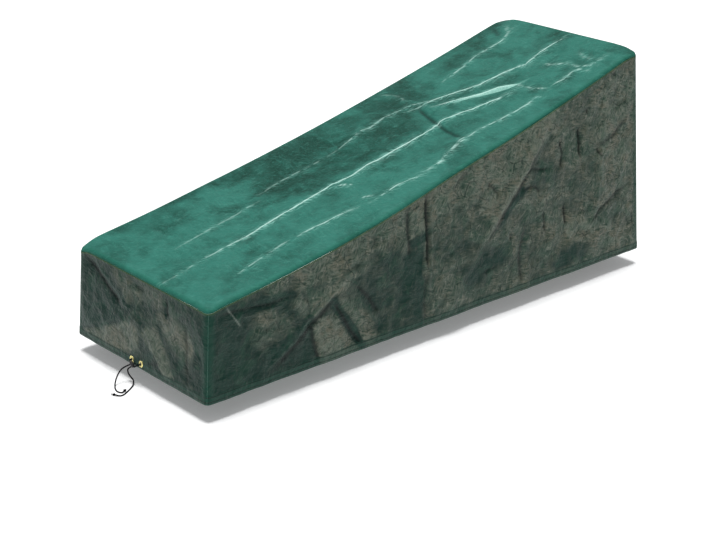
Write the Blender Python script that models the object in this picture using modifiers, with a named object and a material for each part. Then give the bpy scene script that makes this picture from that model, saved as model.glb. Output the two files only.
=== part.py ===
"""A fitted cover for a lounge chair, hanging empty: a tapered box of coated woven sheet, open below.

+Z is up, the low foot end faces -Y and the high head end +Y. The origin is on the underside of the
top at the middle of the cover, where the lounger under it would hold it up. Sizes are in metres.
"""

import math
from collections import namedtuple

import bmesh
import bpy
from mathutils import Matrix, Vector

# ---------------------------------------------------------------- driving sizes

HEM_DEPTH = 0.528       # from the underside of the top, at the middle, down to the hem
SHEET = 0.0015          # thickness of the cloth, outward from the surface that is worked out here
GAP = 0.0003            # between two pieces that meet

ROLL = 0.012            # radius at which the top turns down at its edges
TOP_CORNER = 0.024      # plan radius of the corners at the top edge
HEM_CORNER = 0.016      # and at the hem
CORNER_SAG = 0.015      # how far the empty tip of a top corner sinks
CORNER_SAG_REACH = 0.045
SQUARE_CORNER_SAG = 0.003   # the foot corner on the right stays square
TOP_SAG = 0.008         # how far the top sinks between its two long edges
SEAM_CALM = 0.045       # folds fade out over this distance from a seam

CORD = 0.005            # diameter of the drawcord
CORD_STEP = 0.010       # between two points of its tube
EYELET_HEIGHT = 0.018   # eyelet centres above the hem
EYELET_AT = {"left": -0.046, "right": 0.008}
EYELET_FLANGE = 0.012   # outer radius
EYELET_HOLE = 0.006     # radius of the opening
EYELET_BARREL = 0.0072  # outer radius of the barrel that goes through the cloth
EYELET_CALM = 0.050     # the cloth lies flat this far round the eyelets

Corner = namedtuple("Corner", "top_x top_y hem_x hem_y")
CORNERS = {
    "foot_left": Corner(-0.377, -1.044, -0.385, -1.064),
    "foot_right": Corner(0.374, -1.039, 0.380, -1.062),
    "head_left": Corner(-0.361, 1.050, -0.388, 1.066),
    "head_right": Corner(0.356, 1.040, 0.394, 1.072),
}

# Height of the two long top edges above the hem: level at the foot, then a steady rise to the head.
Rise = namedtuple("Rise", "along left right")
TOP_EDGES = [
    Rise(-1.04, 0.339, 0.329),
    Rise(-0.76, 0.384, 0.368),
    Rise(-0.50, 0.434, 0.412),
    Rise(-0.24, 0.486, 0.467),
    Rise(0.06, 0.552, 0.547),
    Rise(0.37, 0.628, 0.624),
    Rise(0.69, 0.711, 0.713),
    Rise(1.04, 0.808, 0.819),
]

# Folds are soft ridges (lift above 0) and troughs (below 0) along a straight line. On the top their
# ends are x and y; on a wall they are the distance along it (y or x) and the height above the hem.
Fold = namedtuple("Fold", "from_a from_b to_a to_b width lift")
FOLDS = {
    "top": [
        Fold(0.105, -1.02, 0.050, -0.45, 0.034, 0.007),
        Fold(0.050, -0.45, 0.045, -0.05, 0.034, 0.007),
        Fold(0.045, -0.05, 0.058, 0.26, 0.034, 0.008),
        Fold(0.050, 0.28, 0.120, 0.64, 0.034, 0.008),
        Fold(-0.120, 0.33, 0.000, 0.70, 0.034, 0.007),
        Fold(0.000, 0.70, 0.012, 1.01, 0.034, 0.006),
        Fold(-0.160, -0.08, -0.160, 0.35, 0.034, 0.007),
        Fold(-0.180, 0.50, -0.240, 0.98, 0.036, 0.006),
        Fold(0.250, -0.84, 0.220, -0.45, 0.034, 0.006),
        Fold(0.220, -0.52, 0.255, -0.08, 0.034, 0.006),
        Fold(0.255, -0.08, 0.220, 0.26, 0.034, 0.006),
        Fold(0.235, 0.22, 0.255, 0.62, 0.034, 0.006),
        Fold(0.240, 0.68, 0.280, 0.90, 0.034, 0.005),
        Fold(-0.140, 0.34, 0.220, 0.25, 0.030, -0.006),
        Fold(-0.220, -0.48, -0.150, 0.02, 0.110, -0.014),
        Fold(-0.260, 0.45, -0.280, 0.85, 0.090, -0.008),
    ],
    "side_right": [
        Fold(-0.84, 0.03, -0.43, 0.30, 0.040, 0.008),
        Fold(-0.62, 0.18, -0.585, 0.00, 0.035, -0.006),
        Fold(-0.515, 0.22, -0.39, 0.00, 0.035, -0.007),
        Fold(-0.42, 0.26, -0.31, 0.10, 0.035, -0.006),
        Fold(-0.20, 0.30, -0.20, 0.06, 0.090, -0.007),
        Fold(-0.075, 0.52, -0.095, 0.00, 0.030, -0.007),
        Fold(-0.165, 0.47, -0.158, 0.27, 0.030, -0.005),
        Fold(0.57, 0.66, 0.15, 0.19, 0.040, 0.009),
        Fold(0.70, 0.59, 0.70, 0.42, 0.030, -0.006),
        Fold(0.13, 0.17, 0.02, 0.02, 0.050, 0.005),
        Fold(0.37, 0.34, 0.42, 0.04, 0.060, -0.006),
        Fold(0.62, 0.36, 0.60, 0.02, 0.050, -0.006),
        Fold(0.86, 0.58, 0.78, 0.10, 0.060, 0.006),
        Fold(-1.00, 0.29, -0.68, 0.27, 0.035, -0.006),
        Fold(-0.93, 0.20, -0.88, 0.00, 0.045, -0.006),
    ],
    "side_left": [
        Fold(-0.90, 0.27, -0.62, 0.02, 0.045, 0.008),
        Fold(-0.48, 0.36, -0.52, 0.02, 0.045, -0.007),
        Fold(-0.20, 0.44, -0.33, 0.04, 0.050, 0.007),
        Fold(-0.08, 0.52, -0.08, 0.00, 0.032, -0.007),
        Fold(0.12, 0.50, 0.30, 0.04, 0.050, 0.008),
        Fold(0.50, 0.62, 0.46, 0.06, 0.045, -0.007),
        Fold(0.62, 0.30, 0.84, 0.66, 0.050, 0.008),
        Fold(0.80, 0.36, 0.78, 0.00, 0.050, -0.006),
    ],
    "foot_panel": [
        Fold(-0.32, 0.300, -0.09, 0.18, 0.035, -0.007),
        Fold(-0.35, 0.040, -0.07, 0.165, 0.035, 0.006),
        Fold(0.00, 0.170, 0.16, 0.02, 0.035, 0.007),
        Fold(0.15, 0.310, 0.15, 0.22, 0.030, -0.006),
        Fold(0.25, 0.260, 0.27, 0.02, 0.040, -0.005),
    ],
    "head_panel": [
        Fold(-0.20, 0.74, -0.16, 0.06, 0.050, 0.008),
        Fold(0.02, 0.76, 0.04, 0.30, 0.040, -0.007),
        Fold(0.22, 0.70, 0.12, 0.02, 0.055, 0.008),
        Fold(-0.30, 0.50, -0.04, 0.28, 0.050, -0.006),
    ],
}

# Each wall runs from one corner to the next, anticlockwise seen from above.
Wall = namedtuple("Wall", "start end axis outward")
WALLS = {
    "foot_panel": Wall("foot_left", "foot_right", 0, Vector((0, -1, 0))),
    "side_right": Wall("foot_right", "head_right", 1, Vector((1, 0, 0))),
    "head_panel": Wall("head_right", "head_left", 0, Vector((0, 1, 0))),
    "side_left": Wall("head_left", "foot_left", 1, Vector((-1, 0, 0))),
}

CELLS_ACROSS = 9        # grid cells of the top between the corner lines, across
CELLS_ALONG = 34        # and along
CELLS_DOWN = {"foot_panel": 8, "side_right": 12, "head_panel": 12, "side_left": 12}

WIDTH = 0.74            # mean width and length that the grid lines are spaced over
LENGTH = 2.10


# ---------------------------------------------------------------- the cover's surface

def smooth_between(rows, at, column):
    """The column's value at a place along, on a smooth curve through the rows."""
    last = len(rows) - 1
    i = 0
    while i < last - 1 and rows[i + 1].along < at:
        i += 1
    here, there = rows[i], rows[i + 1]
    before, after = rows[max(i - 1, 0)], rows[min(i + 2, last)]
    span = there.along - here.along
    a, b = getattr(here, column), getattr(there, column)
    slope_a = (b - getattr(before, column)) / (there.along - before.along) * span
    slope_b = (getattr(after, column) - a) / (after.along - here.along) * span
    t = min(max((at - here.along) / span, 0.0), 1.0)
    return (
        a * (2 * t**3 - 3 * t**2 + 1)
        + slope_a * (t**3 - 2 * t**2 + t)
        + b * (3 * t**2 - 2 * t**3)
        + slope_b * (t**3 - t**2)
    )


def smooth_step(value):
    value = min(max(value, 0.0), 1.0)
    return value * value * (3 - 2 * value)


def fold_lift(sheet, a, b):
    """How far the folds of one piece push its surface out at a place on it."""
    lift = 0.0
    for fold in FOLDS[sheet]:
        run = Vector((fold.to_a - fold.from_a, fold.to_b - fold.from_b))
        off = Vector((a - fold.from_a, b - fold.from_b))
        t = min(max(off.dot(run) / run.length_squared, 0.0), 1.0)
        distance = (off - run * t).length
        lift += fold.lift * (1 - (2 * t - 1) ** 4) * math.exp(-((distance / fold.width) ** 2))
    return lift


def in_rounded_corner(u, v, radius):
    """Moves a grid point near a corner onto arcs about the corner's centre.

    Returns the moved point and its distance in from the outline.
    """
    from_u = min(u, WIDTH - u)
    from_v = min(v, LENGTH - v)
    inset = min(from_u, from_v)
    if from_u < radius and from_v < radius:
        arm = Vector((radius - from_u, radius - from_v))
        reach = max(arm.x, arm.y)
        arm = arm.normalized() * reach
        inset = radius - reach
        from_u, from_v = radius - arm.x, radius - arm.y
    u = from_u if u < WIDTH / 2 else WIDTH - from_u
    v = from_v if v < LENGTH / 2 else LENGTH - from_v
    return u, v, inset


def in_plan(u, v, level):
    """The x and y of a place on the cover's plan, at a level from 0, the top edge, to 1, the hem."""
    across, along = u / WIDTH, v / LENGTH
    weights = {
        "foot_left": (1 - across) * (1 - along),
        "foot_right": across * (1 - along),
        "head_left": (1 - across) * along,
        "head_right": across * along,
    }
    x = y = 0.0
    for name, weight in weights.items():
        corner = CORNERS[name]
        x += weight * (corner.top_x + (corner.hem_x - corner.top_x) * level)
        y += weight * (corner.top_y + (corner.hem_y - corner.top_y) * level)
    return x, y


def top_height(u, v):
    """Height of the top above the hem, before its edges turn down."""
    x, y = in_plan(u, v, 0)
    across = u / WIDTH
    left = smooth_between(TOP_EDGES, y, "left")
    right = smooth_between(TOP_EDGES, y, "right")
    height = left + (right - left) * across
    height -= TOP_SAG * math.sin(math.pi * across) * math.sin(math.pi * v / LENGTH)
    to_corner = math.hypot(min(u, WIDTH - u), min(v, LENGTH - v))
    sag = SQUARE_CORNER_SAG if u > WIDTH / 2 and v < LENGTH / 2 else CORNER_SAG
    return height - sag * math.exp(-((to_corner / CORNER_SAG_REACH) ** 2))


def top_point(u, v):
    u, v, inset = in_rounded_corner(u, v, TOP_CORNER)
    x, y = in_plan(u, v, 0)
    height = top_height(u, v) + fold_lift("top", x, y) * smooth_step(inset / SEAM_CALM)
    if inset < ROLL:
        height -= ROLL - math.sqrt(max(ROLL**2 - (ROLL - inset) ** 2, 0.0))
    return Vector((x, y, height - HEM_DEPTH))


def wall_point(name, distance, level):
    """A place on a wall: distance along its edge in the plan, and level from 0, the seam, to 1, the hem."""
    radius = TOP_CORNER + (HEM_CORNER - TOP_CORNER) * level
    edge = {
        "foot_panel": (distance, 0.0),
        "side_right": (WIDTH, distance),
        "head_panel": (WIDTH - distance, LENGTH),
        "side_left": (0.0, LENGTH - distance),
    }[name]
    length = WIDTH if WALLS[name].axis == 0 else LENGTH
    u, v, _ = in_rounded_corner(*edge, radius)
    x, y = in_plan(u, v, level)
    seam = top_point(*edge).z + HEM_DEPTH
    height = seam * (1 - level)
    along = (x, y)[WALLS[name].axis]
    calm = smooth_step(min(distance, length - distance) / SEAM_CALM) * smooth_step(level * seam / SEAM_CALM)
    if name == "foot_panel":
        off = min(abs(along - at) for at in EYELET_AT.values())
        calm *= smooth_step(math.hypot(off, height - EYELET_HEIGHT) / EYELET_CALM - 0.5)
    push = fold_lift(name, along, height) * calm
    return Vector((x, y, height - HEM_DEPTH)) + WALLS[name].outward * push


# ---------------------------------------------------------------- grids of the pieces

def grid_lines(length, cells, start_lines, end_lines):
    """Places along a length: close lines in the rounded ends, and even cells between them."""
    first, last = start_lines[-1], length - end_lines[-1]
    lines = list(start_lines)
    lines += [first + (last - first) * i / cells for i in range(1, cells)]
    return lines + [length - line for line in reversed(end_lines)]


EDGE_LINES = [0.0, ROLL * 0.3, ROLL, (ROLL + TOP_CORNER) / 2, TOP_CORNER]
ACROSS_LINES = grid_lines(WIDTH, CELLS_ACROSS, EDGE_LINES, EDGE_LINES)
ALONG_LINES = grid_lines(LENGTH, CELLS_ALONG, EDGE_LINES, EDGE_LINES)


def material(name, color, roughness, metallic=0.0):
    made = bpy.data.materials.new(name)
    made.use_nodes = True
    shader = made.node_tree.nodes["Principled BSDF"]
    shader.inputs["Base Color"].default_value = (*color, 1.0)
    shader.inputs["Roughness"].default_value = roughness
    shader.inputs["Metallic"].default_value = metallic
    return made


def in_collection(name):
    made = bpy.data.collections.new(name)
    bpy.context.scene.collection.children.link(made)
    return made


def new_object(name, mesh, collection, finish=None):
    made = bpy.data.objects.new(name, mesh)
    if finish:
        made.data.materials.append(finish)
    collection.objects.link(made)
    return made


def draw_in(rows):
    """Draws a grid's borders in by half a gap each, so that neighbours never touch."""
    def nudge(here, inner):
        return here + (inner - here).normalized() * (GAP / 2)

    for row in rows:
        row[0], row[-1] = nudge(row[0], row[1]), nudge(row[-1], row[-2])
    for i in range(len(rows[0])):
        rows[0][i] = nudge(rows[0][i], rows[1][i])


def sheet_object(name, rows, outward, collection, finish):
    """A sheet of cloth on a grid of points, with its thickness laid outward."""
    bm = bmesh.new()
    cells_u, cells_v = len(rows[0]) - 1, len(rows) - 1
    bmesh.ops.create_grid(bm, x_segments=cells_u, y_segments=cells_v, size=1.0)
    for vert in bm.verts:
        i = round((vert.co.x + 1) / 2 * cells_u)
        j = round((vert.co.y + 1) / 2 * cells_v)
        vert.co = rows[j][i]
    bm.normal_update()
    facing = sum((face.normal * face.calc_area() for face in bm.faces), Vector())
    if facing.dot(outward) < 0:
        bmesh.ops.reverse_faces(bm, faces=bm.faces)
    mesh = bpy.data.meshes.new(name)
    bm.to_mesh(mesh)
    bm.free()
    mesh.shade_smooth()
    made = new_object(name, mesh, collection, finish)
    solid = made.modifiers.new("cloth thickness", "SOLIDIFY")
    solid.thickness = SHEET
    solid.offset = 1.0
    return made


def make_top(collection, finish):
    rows = [[top_point(u, v) for u in ACROSS_LINES] for v in ALONG_LINES]
    draw_in(rows)
    return sheet_object("top_panel", rows, Vector((0, 0, 1)), collection, finish)


def make_wall(name, collection, finish):
    distances = ACROSS_LINES if WALLS[name].axis == 0 else ALONG_LINES
    steps = CELLS_DOWN[name]
    rows = [[wall_point(name, d, step / steps) for d in distances] for step in range(steps + 1)]
    draw_in(rows)
    return sheet_object(name, rows, WALLS[name].outward, collection, finish)


# ---------------------------------------------------------------- hardware

def foot_place(along, height, out=0.0):
    """The frame of a place on the foot wall's outer face: its Z axis is the wall's outward normal."""
    def at(x, h):
        distance = (x - CORNERS["foot_left"].hem_x) / (
            CORNERS["foot_right"].hem_x - CORNERS["foot_left"].hem_x
        ) * WIDTH
        seam = top_point(distance, 0.0).z + HEM_DEPTH
        return wall_point("foot_panel", distance, 1 - h / seam)

    step = 0.01
    across = (at(along + step, height) - at(along - step, height)).normalized()
    upward = (at(along, height + step) - at(along, height - step)).normalized()
    normal = across.cross(upward).normalized()
    frame = Matrix((across, normal.cross(across), normal)).transposed().to_4x4()
    frame.translation = at(along, height) + normal * (SHEET + out)
    return frame


def turned(name, profile, steps, frame, collection, finish):
    """A ring or knob: a closed profile of radius and height, turned about the frame's Z axis."""
    mesh = bpy.data.meshes.new(name)
    points = [(radius, 0.0, height) for radius, height in profile]
    ring = profile[0][0] > 0 and profile[-1][0] > 0
    edges = [(i, i + 1) for i in range(len(points) - 1)]
    if ring:
        edges.append((len(points) - 1, 0))
    mesh.from_pydata(points, edges, [])
    made = new_object(name, mesh, collection, finish)
    made.matrix_world = frame
    screw = made.modifiers.new("turn", "SCREW")
    screw.axis = "Z"
    screw.steps = steps
    screw.render_steps = steps
    screw.use_merge_vertices = True
    screw.merge_threshold = 0.00002
    screw.use_smooth_shade = True
    return made


def make_eyelets(collection, cutters, foot, finish):
    under = -SHEET - GAP    # top of the washer behind the cloth
    profile = [             # down the outer side from the crest of the flange
        (0.0090, 0.0020),
        (0.0108, 0.0016),
        (EYELET_FLANGE, GAP),
        (EYELET_BARREL, GAP),
        (EYELET_BARREL, under),
        (0.0112, under),
        (0.0112, under - 0.0007),
        (EYELET_HOLE + 0.0004, under - 0.0007),
        (EYELET_HOLE, under),
        (EYELET_HOLE, 0.0006),
        (0.0070, 0.0018),
    ]
    for side, along in EYELET_AT.items():
        frame = foot_place(along, EYELET_HEIGHT)
        turned(f"eyelet_{side}", profile, 20, frame, collection, finish)
        bpy.ops.mesh.primitive_cylinder_add(
            vertices=20, radius=EYELET_BARREL + GAP, depth=0.02
        )
        cutter = bpy.context.object
        cutter.name = f"eyelet_hole_{side}"
        cutter.matrix_world = frame
        cutter.hide_render = True
        cutter.display_type = "WIRE"
        for held_in in list(cutter.users_collection):
            held_in.objects.unlink(cutter)
        cutters.objects.link(cutter)
        cut = foot.modifiers.new(f"hole {side}", "BOOLEAN")
        cut.object = cutter
        cut.operation = "DIFFERENCE"


# The drawcord's routes: x, y and height above the hem, each from its eyelet or the lock outward. The
# two free ends sag to the ground 65 mm below the hem, turn towards each other and end in knots.
LOCK_AT = (-0.0315, -1.0745, 0.0085)
LOCK_AXIS = Vector((0.75, -0.05, -0.66))
ROUTES = {
    "cord_lead_left": [
        (-0.0460, -1.0600, 0.0180),
        (-0.0458, -1.0650, 0.0182),
        (-0.0445, -1.0695, 0.0190),
        (-0.0432, -1.0735, 0.0192),
    ],
    "cord_lead_right": [
        (0.0080, -1.0600, 0.0180),
        (0.0076, -1.0668, 0.0175),
        (0.0030, -1.0712, 0.0150),
        (-0.0070, -1.0745, 0.0080),
        (-0.0165, -1.0755, 0.0025),
    ],
    "cord_left": [
        (-0.0386, -1.0750, 0.0050),
        (-0.0470, -1.0775, -0.0010),
        (-0.0560, -1.0835, -0.0070),
        (-0.0612, -1.0960, -0.0140),
        (-0.0615, -1.1090, -0.0250),
        (-0.0595, -1.1200, -0.0385),
        (-0.0525, -1.1315, -0.0520),
        (-0.0400, -1.1415, -0.0610),
        (-0.0240, -1.1490, -0.0625),
        (-0.0090, -1.1525, -0.0625),
        (0.0025, -1.1500, -0.0625),
        (0.0088, -1.1455, -0.0620),
        (0.0092, -1.1400, -0.0606),
        (0.0074, -1.1362, -0.0604),
    ],
    "cord_right": [
        (-0.0340, -1.0745, 0.0010),
        (-0.0425, -1.0735, -0.0080),
        (-0.0540, -1.0725, -0.0160),
        (-0.0605, -1.0735, -0.0250),
        (-0.0550, -1.0745, -0.0360),
        (-0.0440, -1.0735, -0.0455),
        (-0.0285, -1.0735, -0.0530),
        (-0.0140, -1.0845, -0.0605),
        (0.0005, -1.1045, -0.0625),
        (0.0140, -1.1270, -0.0625),
        (0.0245, -1.1470, -0.0625),
        (0.0262, -1.1600, -0.0625),
        (0.0200, -1.1685, -0.0620),
        (0.0150, -1.1722, -0.0606),
        (0.0105, -1.1742, -0.0604),
    ],
}
KNOTS = {"knot_left": "cord_left", "knot_right": "cord_right"}
KNOT_PROFILE = [            # distance along the axis, radius: a rounded knot and its short tail
    (0.0000, 0.0024),
    (0.0010, 0.0036),
    (0.0035, 0.0045),
    (0.0065, 0.0045),
    (0.0088, 0.0036),
    (0.0100, 0.0022),
    (0.0140, 0.0020),
    (0.0175, 0.0012),
]


def above_hem(point):
    x, y, height = point
    return Vector((x, y, height - HEM_DEPTH))


def smooth_route(points, spacing):
    """Points on one smooth curve through the route's own points, about evenly spaced."""
    ends = [points[0] * 2 - points[1]] + points + [points[-1] * 2 - points[-2]]
    fine = []
    for a, b, c, d in zip(ends, ends[1:], ends[2:], ends[3:]):
        for step in range(12):
            t = step / 12
            fine.append(
                (b * 2 + (c - a) * t + (a * 2 - b * 5 + c * 4 - d) * t**2
                 + (b * 3 - a - c * 3 + d) * t**3) / 2
            )
    fine.append(points[-1])
    length = sum((b - a).length for a, b in zip(fine, fine[1:]))
    count = max(3, round(length / spacing))
    made, walked = [fine[0]], 0.0
    for a, b in zip(fine, fine[1:]):
        step = (b - a).length
        while len(made) < count and walked + step >= length * len(made) / count:
            made.append(a.lerp(b, (length * len(made) / count - walked) / step))
        walked += step
    return made + [points[-1]]


def cord_points(name):
    return smooth_route([above_hem(point) for point in ROUTES[name]], CORD_STEP)


def make_cord(name, collection, finish):
    points = cord_points(name)
    curve = bpy.data.curves.new(name, "CURVE")
    curve.dimensions = "3D"
    curve.bevel_depth = CORD / 2
    curve.bevel_resolution = 3
    curve.use_fill_caps = True
    spline = curve.splines.new("POLY")
    spline.points.add(len(points) - 1)
    for place, point in zip(spline.points, points):
        place.co = (*point, 1.0)
    return new_object(name, curve, collection, finish)


def facing(axis, at):
    """A frame at a place, with its Z axis along the given direction."""
    frame = axis.normalized().to_track_quat("Z", "Y").to_matrix().to_4x4()
    frame.translation = at
    return frame


def make_knots(collection, finish):
    for name, cord in KNOTS.items():
        before, end = cord_points(cord)[-2:]
        along = (end - before).normalized()
        frame = facing(along, end + along * GAP)
        profile = [(radius, along) for along, radius in reversed(KNOT_PROFILE)]
        profile = [(0.0, profile[0][1])] + profile + [(0.0, 0.0)]
        turned(name, profile, 14, frame, collection, finish)


def make_lock(collection, finish):
    """The cord lock: a plain barrel with rounded ends and a narrower neck at one end."""
    profile = [             # radius, height along the barrel, from its top down
        (0.0, 0.0132),
        (0.0034, 0.0132),
        (0.0046, 0.0120),
        (0.0046, 0.0085),
        (0.0056, 0.0076),
        (0.0062, 0.0056),
        (0.0062, -0.0096),
        (0.0054, -0.0120),
        (0.0038, -0.0130),
        (0.0, -0.0132),
    ]
    turned("cord_lock", profile, 24, facing(-LOCK_AXIS, above_hem(LOCK_AT)), collection, finish)


def main():
    for old in list(bpy.data.objects):
        bpy.data.objects.remove(old, do_unlink=True)
    cover = in_collection("lounge_chair_cover")
    cutters = in_collection("cutters")
    top_cloth = material("green_sheet", (0.045, 0.27, 0.18), 0.35)
    wall_cloth = material("olive_sheet", (0.09, 0.12, 0.095), 0.45)
    brass = material("eyelet_brass", (0.75, 0.60, 0.22), 0.30, 1.0)
    black_cord = material("black_cord", (0.012, 0.012, 0.012), 0.80)
    black_plastic = material("black_plastic", (0.015, 0.015, 0.017), 0.45)
    make_top(cover, top_cloth)
    walls = {name: make_wall(name, cover, wall_cloth) for name in WALLS}
    make_eyelets(cover, cutters, walls["foot_panel"], brass)
    make_lock(cover, black_plastic)
    for name in ROUTES:
        make_cord(name, cover, black_cord)
    make_knots(cover, black_cord)


main()
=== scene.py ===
# %% [markdown]
# # A fitted cover for a lounge chair
#
# The cover is an open-bottomed box of coated woven sheet, low at the foot and high at the head. This
# lesson dresses a plain model of it: thin creased panels, a hem with its drawcord, two brass eyelets,
# a cord lock, and the finishes.

import math
from collections import namedtuple

import bpy
import numpy as np
from mathutils import Matrix, Vector
from mathutils.bvhtree import BVHTree


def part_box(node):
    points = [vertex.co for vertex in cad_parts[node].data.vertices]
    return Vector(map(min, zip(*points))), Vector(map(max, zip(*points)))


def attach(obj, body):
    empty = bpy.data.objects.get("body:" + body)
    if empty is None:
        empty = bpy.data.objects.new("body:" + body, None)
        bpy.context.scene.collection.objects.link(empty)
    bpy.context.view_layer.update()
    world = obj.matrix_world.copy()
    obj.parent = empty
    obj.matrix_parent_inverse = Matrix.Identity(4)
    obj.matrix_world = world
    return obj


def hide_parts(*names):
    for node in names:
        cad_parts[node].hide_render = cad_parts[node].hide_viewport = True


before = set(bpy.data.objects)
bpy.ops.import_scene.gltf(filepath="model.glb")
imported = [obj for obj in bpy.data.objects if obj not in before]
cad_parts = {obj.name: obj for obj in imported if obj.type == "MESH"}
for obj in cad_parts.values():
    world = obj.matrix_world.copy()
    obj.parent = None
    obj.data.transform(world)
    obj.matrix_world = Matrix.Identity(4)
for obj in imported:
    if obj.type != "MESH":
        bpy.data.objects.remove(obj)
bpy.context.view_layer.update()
HEM_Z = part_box("side_right")[0].z
GROUND_GAP = 0.065          # the hem hangs this far above the floor
FLOOR_Z = HEM_Z - GROUND_GAP
print("hem at", round(HEM_Z, 4), "floor at", round(FLOOR_Z, 4))

# %% [markdown]
# ## Camera
#
# A long lens from far away keeps the upright edges almost parallel. The camera looks down at about
# 22 degrees on the near foot corner. Its place is worked out from two angles and a distance.

# %% Place the camera
AZIMUTH = math.radians(48.80)
ELEVATION = math.radians(22.46)
DISTANCE = 6.481
TARGET = Vector((-0.0867, 0.0, HEM_Z + 0.0453))

back = Vector((
    math.sin(AZIMUTH) * math.cos(ELEVATION),
    -math.cos(AZIMUTH) * math.cos(ELEVATION),
    math.sin(ELEVATION),
))
lens = bpy.data.cameras.new("camera")
lens.sensor_width = 36.0
lens.lens = 85.5
camera = bpy.data.objects.new("camera", lens)
camera.location = TARGET + back * DISTANCE
camera.rotation_mode = "QUATERNION"
camera.rotation_quaternion = (-back).to_track_quat("-Z", "Y")
bpy.context.scene.collection.objects.link(camera)
bpy.context.scene.camera = camera
print("camera at", [round(c, 3) for c in camera.location])

# %% [markdown]
# ## Drawcord
#
# The drawcord comes out of the hem through two eyelets, passes through a cord lock, and its two free
# ends fall to the floor and end in knots. A cord is a tube swept along a smooth line, so one function
# makes them all. It is built as a mesh, and not as a curve, so that its UV map runs along the cord in
# metres and the braid can follow every bend.

# %% Smooth lines and swept tubes
CORD = 0.005                # diameter of the drawcord
CORD_STEP = 0.0025          # spacing of the points along it


def smooth_line(points, spacing):
    """Points at an even spacing on one smooth curve through the given points."""
    points = [np.array(p, dtype=float) for p in points]
    ends = [2 * points[0] - points[1]] + points + [2 * points[-1] - points[-2]]
    fine = []
    for a, b, c, d in zip(ends, ends[1:], ends[2:], ends[3:]):
        for t in np.arange(16) / 16:
            fine.append((2 * b + (c - a) * t + (2 * a - 5 * b + 4 * c - d) * t**2
                         + (3 * b - a - 3 * c + d) * t**3) / 2)
    fine = np.array(fine + [points[-1]])
    walked = np.concatenate([[0], np.cumsum(np.linalg.norm(np.diff(fine, axis=0), axis=1))])
    count = max(2, round(walked[-1] / spacing))
    places = np.linspace(0, walked[-1], count + 1)
    return np.stack([np.interp(places, walked, fine[:, k]) for k in range(3)], axis=1), walked[-1]


def swept_tube(name, line, radii, sides=20):
    """A closed tube along a line, with a UV map in metres: round the tube and along it."""
    rings, forward = [], np.gradient(line, axis=0)
    forward /= np.linalg.norm(forward, axis=1)[:, None]
    side = np.cross(forward[0], (0.3, 0.2, 1.0))
    for place, ahead, radius in zip(line, forward, radii):
        side -= ahead * side.dot(ahead)
        side /= np.linalg.norm(side)
        up = np.cross(ahead, side)
        turn = np.arange(sides) * 2 * math.pi / sides
        rings.append(place + radius * (np.cos(turn)[:, None] * side + np.sin(turn)[:, None] * up))
    verts = np.concatenate(rings + [line[:1], line[-1:]])
    faces, first, last = [], len(verts) - 2, len(verts) - 1
    for j in range(len(line) - 1):
        for i in range(sides):
            a, b = j * sides + i, j * sides + (i + 1) % sides
            faces.append((a, b, b + sides, a + sides))
    top = (len(line) - 1) * sides
    for i in range(sides):
        faces.append((first, (i + 1) % sides, i))
        faces.append((last, top + i, top + (i + 1) % sides))
    mesh = bpy.data.meshes.new(name)
    mesh.from_pydata(verts.tolist(), [], faces)
    along = np.concatenate([[0], np.cumsum(np.linalg.norm(np.diff(line, axis=0), axis=1))])
    cloth = mesh.uv_layers.new(name="cloth")
    for face in mesh.polygons:
        for loop in face.loop_indices:
            vert = mesh.loops[loop].vertex_index
            row, column = (divmod(vert, sides) if vert < first else (0 if vert == first else -1, 0))
            if len(face.vertices) == 4 and column == 0 and face.index % sides == sides - 1:
                column = sides
            cloth.data[loop].uv = (column / sides * 2 * math.pi * float(radii[0]), along[row])
    mesh.shade_smooth()
    made = bpy.data.objects.new(name, mesh)
    bpy.context.scene.collection.objects.link(made)
    return made


# %% [markdown]
# The routes are lists of places: x, y and height above the hem. Each starts at its eyelet or at the lock.
# The free ends sag, touch the floor 65 mm below the hem, and lie on it.

# %% Cord routes
ROUTES = {
    "cord_lead_left": [
        (-0.0460, -1.0600, 0.0180), (-0.0458, -1.0650, 0.0182), (-0.0445, -1.0695, 0.0190),
        (-0.0432, -1.0735, 0.0192),
    ],
    "cord_lead_right": [
        (0.0080, -1.0600, 0.0180), (0.0076, -1.0668, 0.0175), (0.0030, -1.0712, 0.0150),
        (-0.0070, -1.0745, 0.0080), (-0.0165, -1.0755, 0.0025),
    ],
    "cord_left": [
        (-0.0386, -1.0750, 0.0050), (-0.0470, -1.0775, -0.0010), (-0.0560, -1.0835, -0.0070),
        (-0.0612, -1.0960, -0.0140), (-0.0615, -1.1090, -0.0250), (-0.0595, -1.1200, -0.0385),
        (-0.0525, -1.1315, -0.0520), (-0.0400, -1.1415, -0.0610), (-0.0240, -1.1490, -0.0625),
        (-0.0090, -1.1525, -0.0625), (0.0025, -1.1500, -0.0625), (0.0088, -1.1455, -0.0620),
        (0.0092, -1.1400, -0.0606), (0.0074, -1.1362, -0.0604),
    ],
    "cord_right": [
        (-0.0340, -1.0745, 0.0010), (-0.0425, -1.0735, -0.0080), (-0.0540, -1.0725, -0.0160),
        (-0.0605, -1.0735, -0.0250), (-0.0550, -1.0745, -0.0360), (-0.0440, -1.0735, -0.0455),
        (-0.0285, -1.0735, -0.0530), (-0.0140, -1.0845, -0.0605), (0.0005, -1.1045, -0.0625),
        (0.0140, -1.1270, -0.0625), (0.0245, -1.1470, -0.0625), (0.0262, -1.1600, -0.0625),
        (0.0200, -1.1685, -0.0620), (0.0150, -1.1722, -0.0606), (0.0105, -1.1742, -0.0604),
    ],
}
lines, lengths, cords = {}, {}, {}
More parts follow.
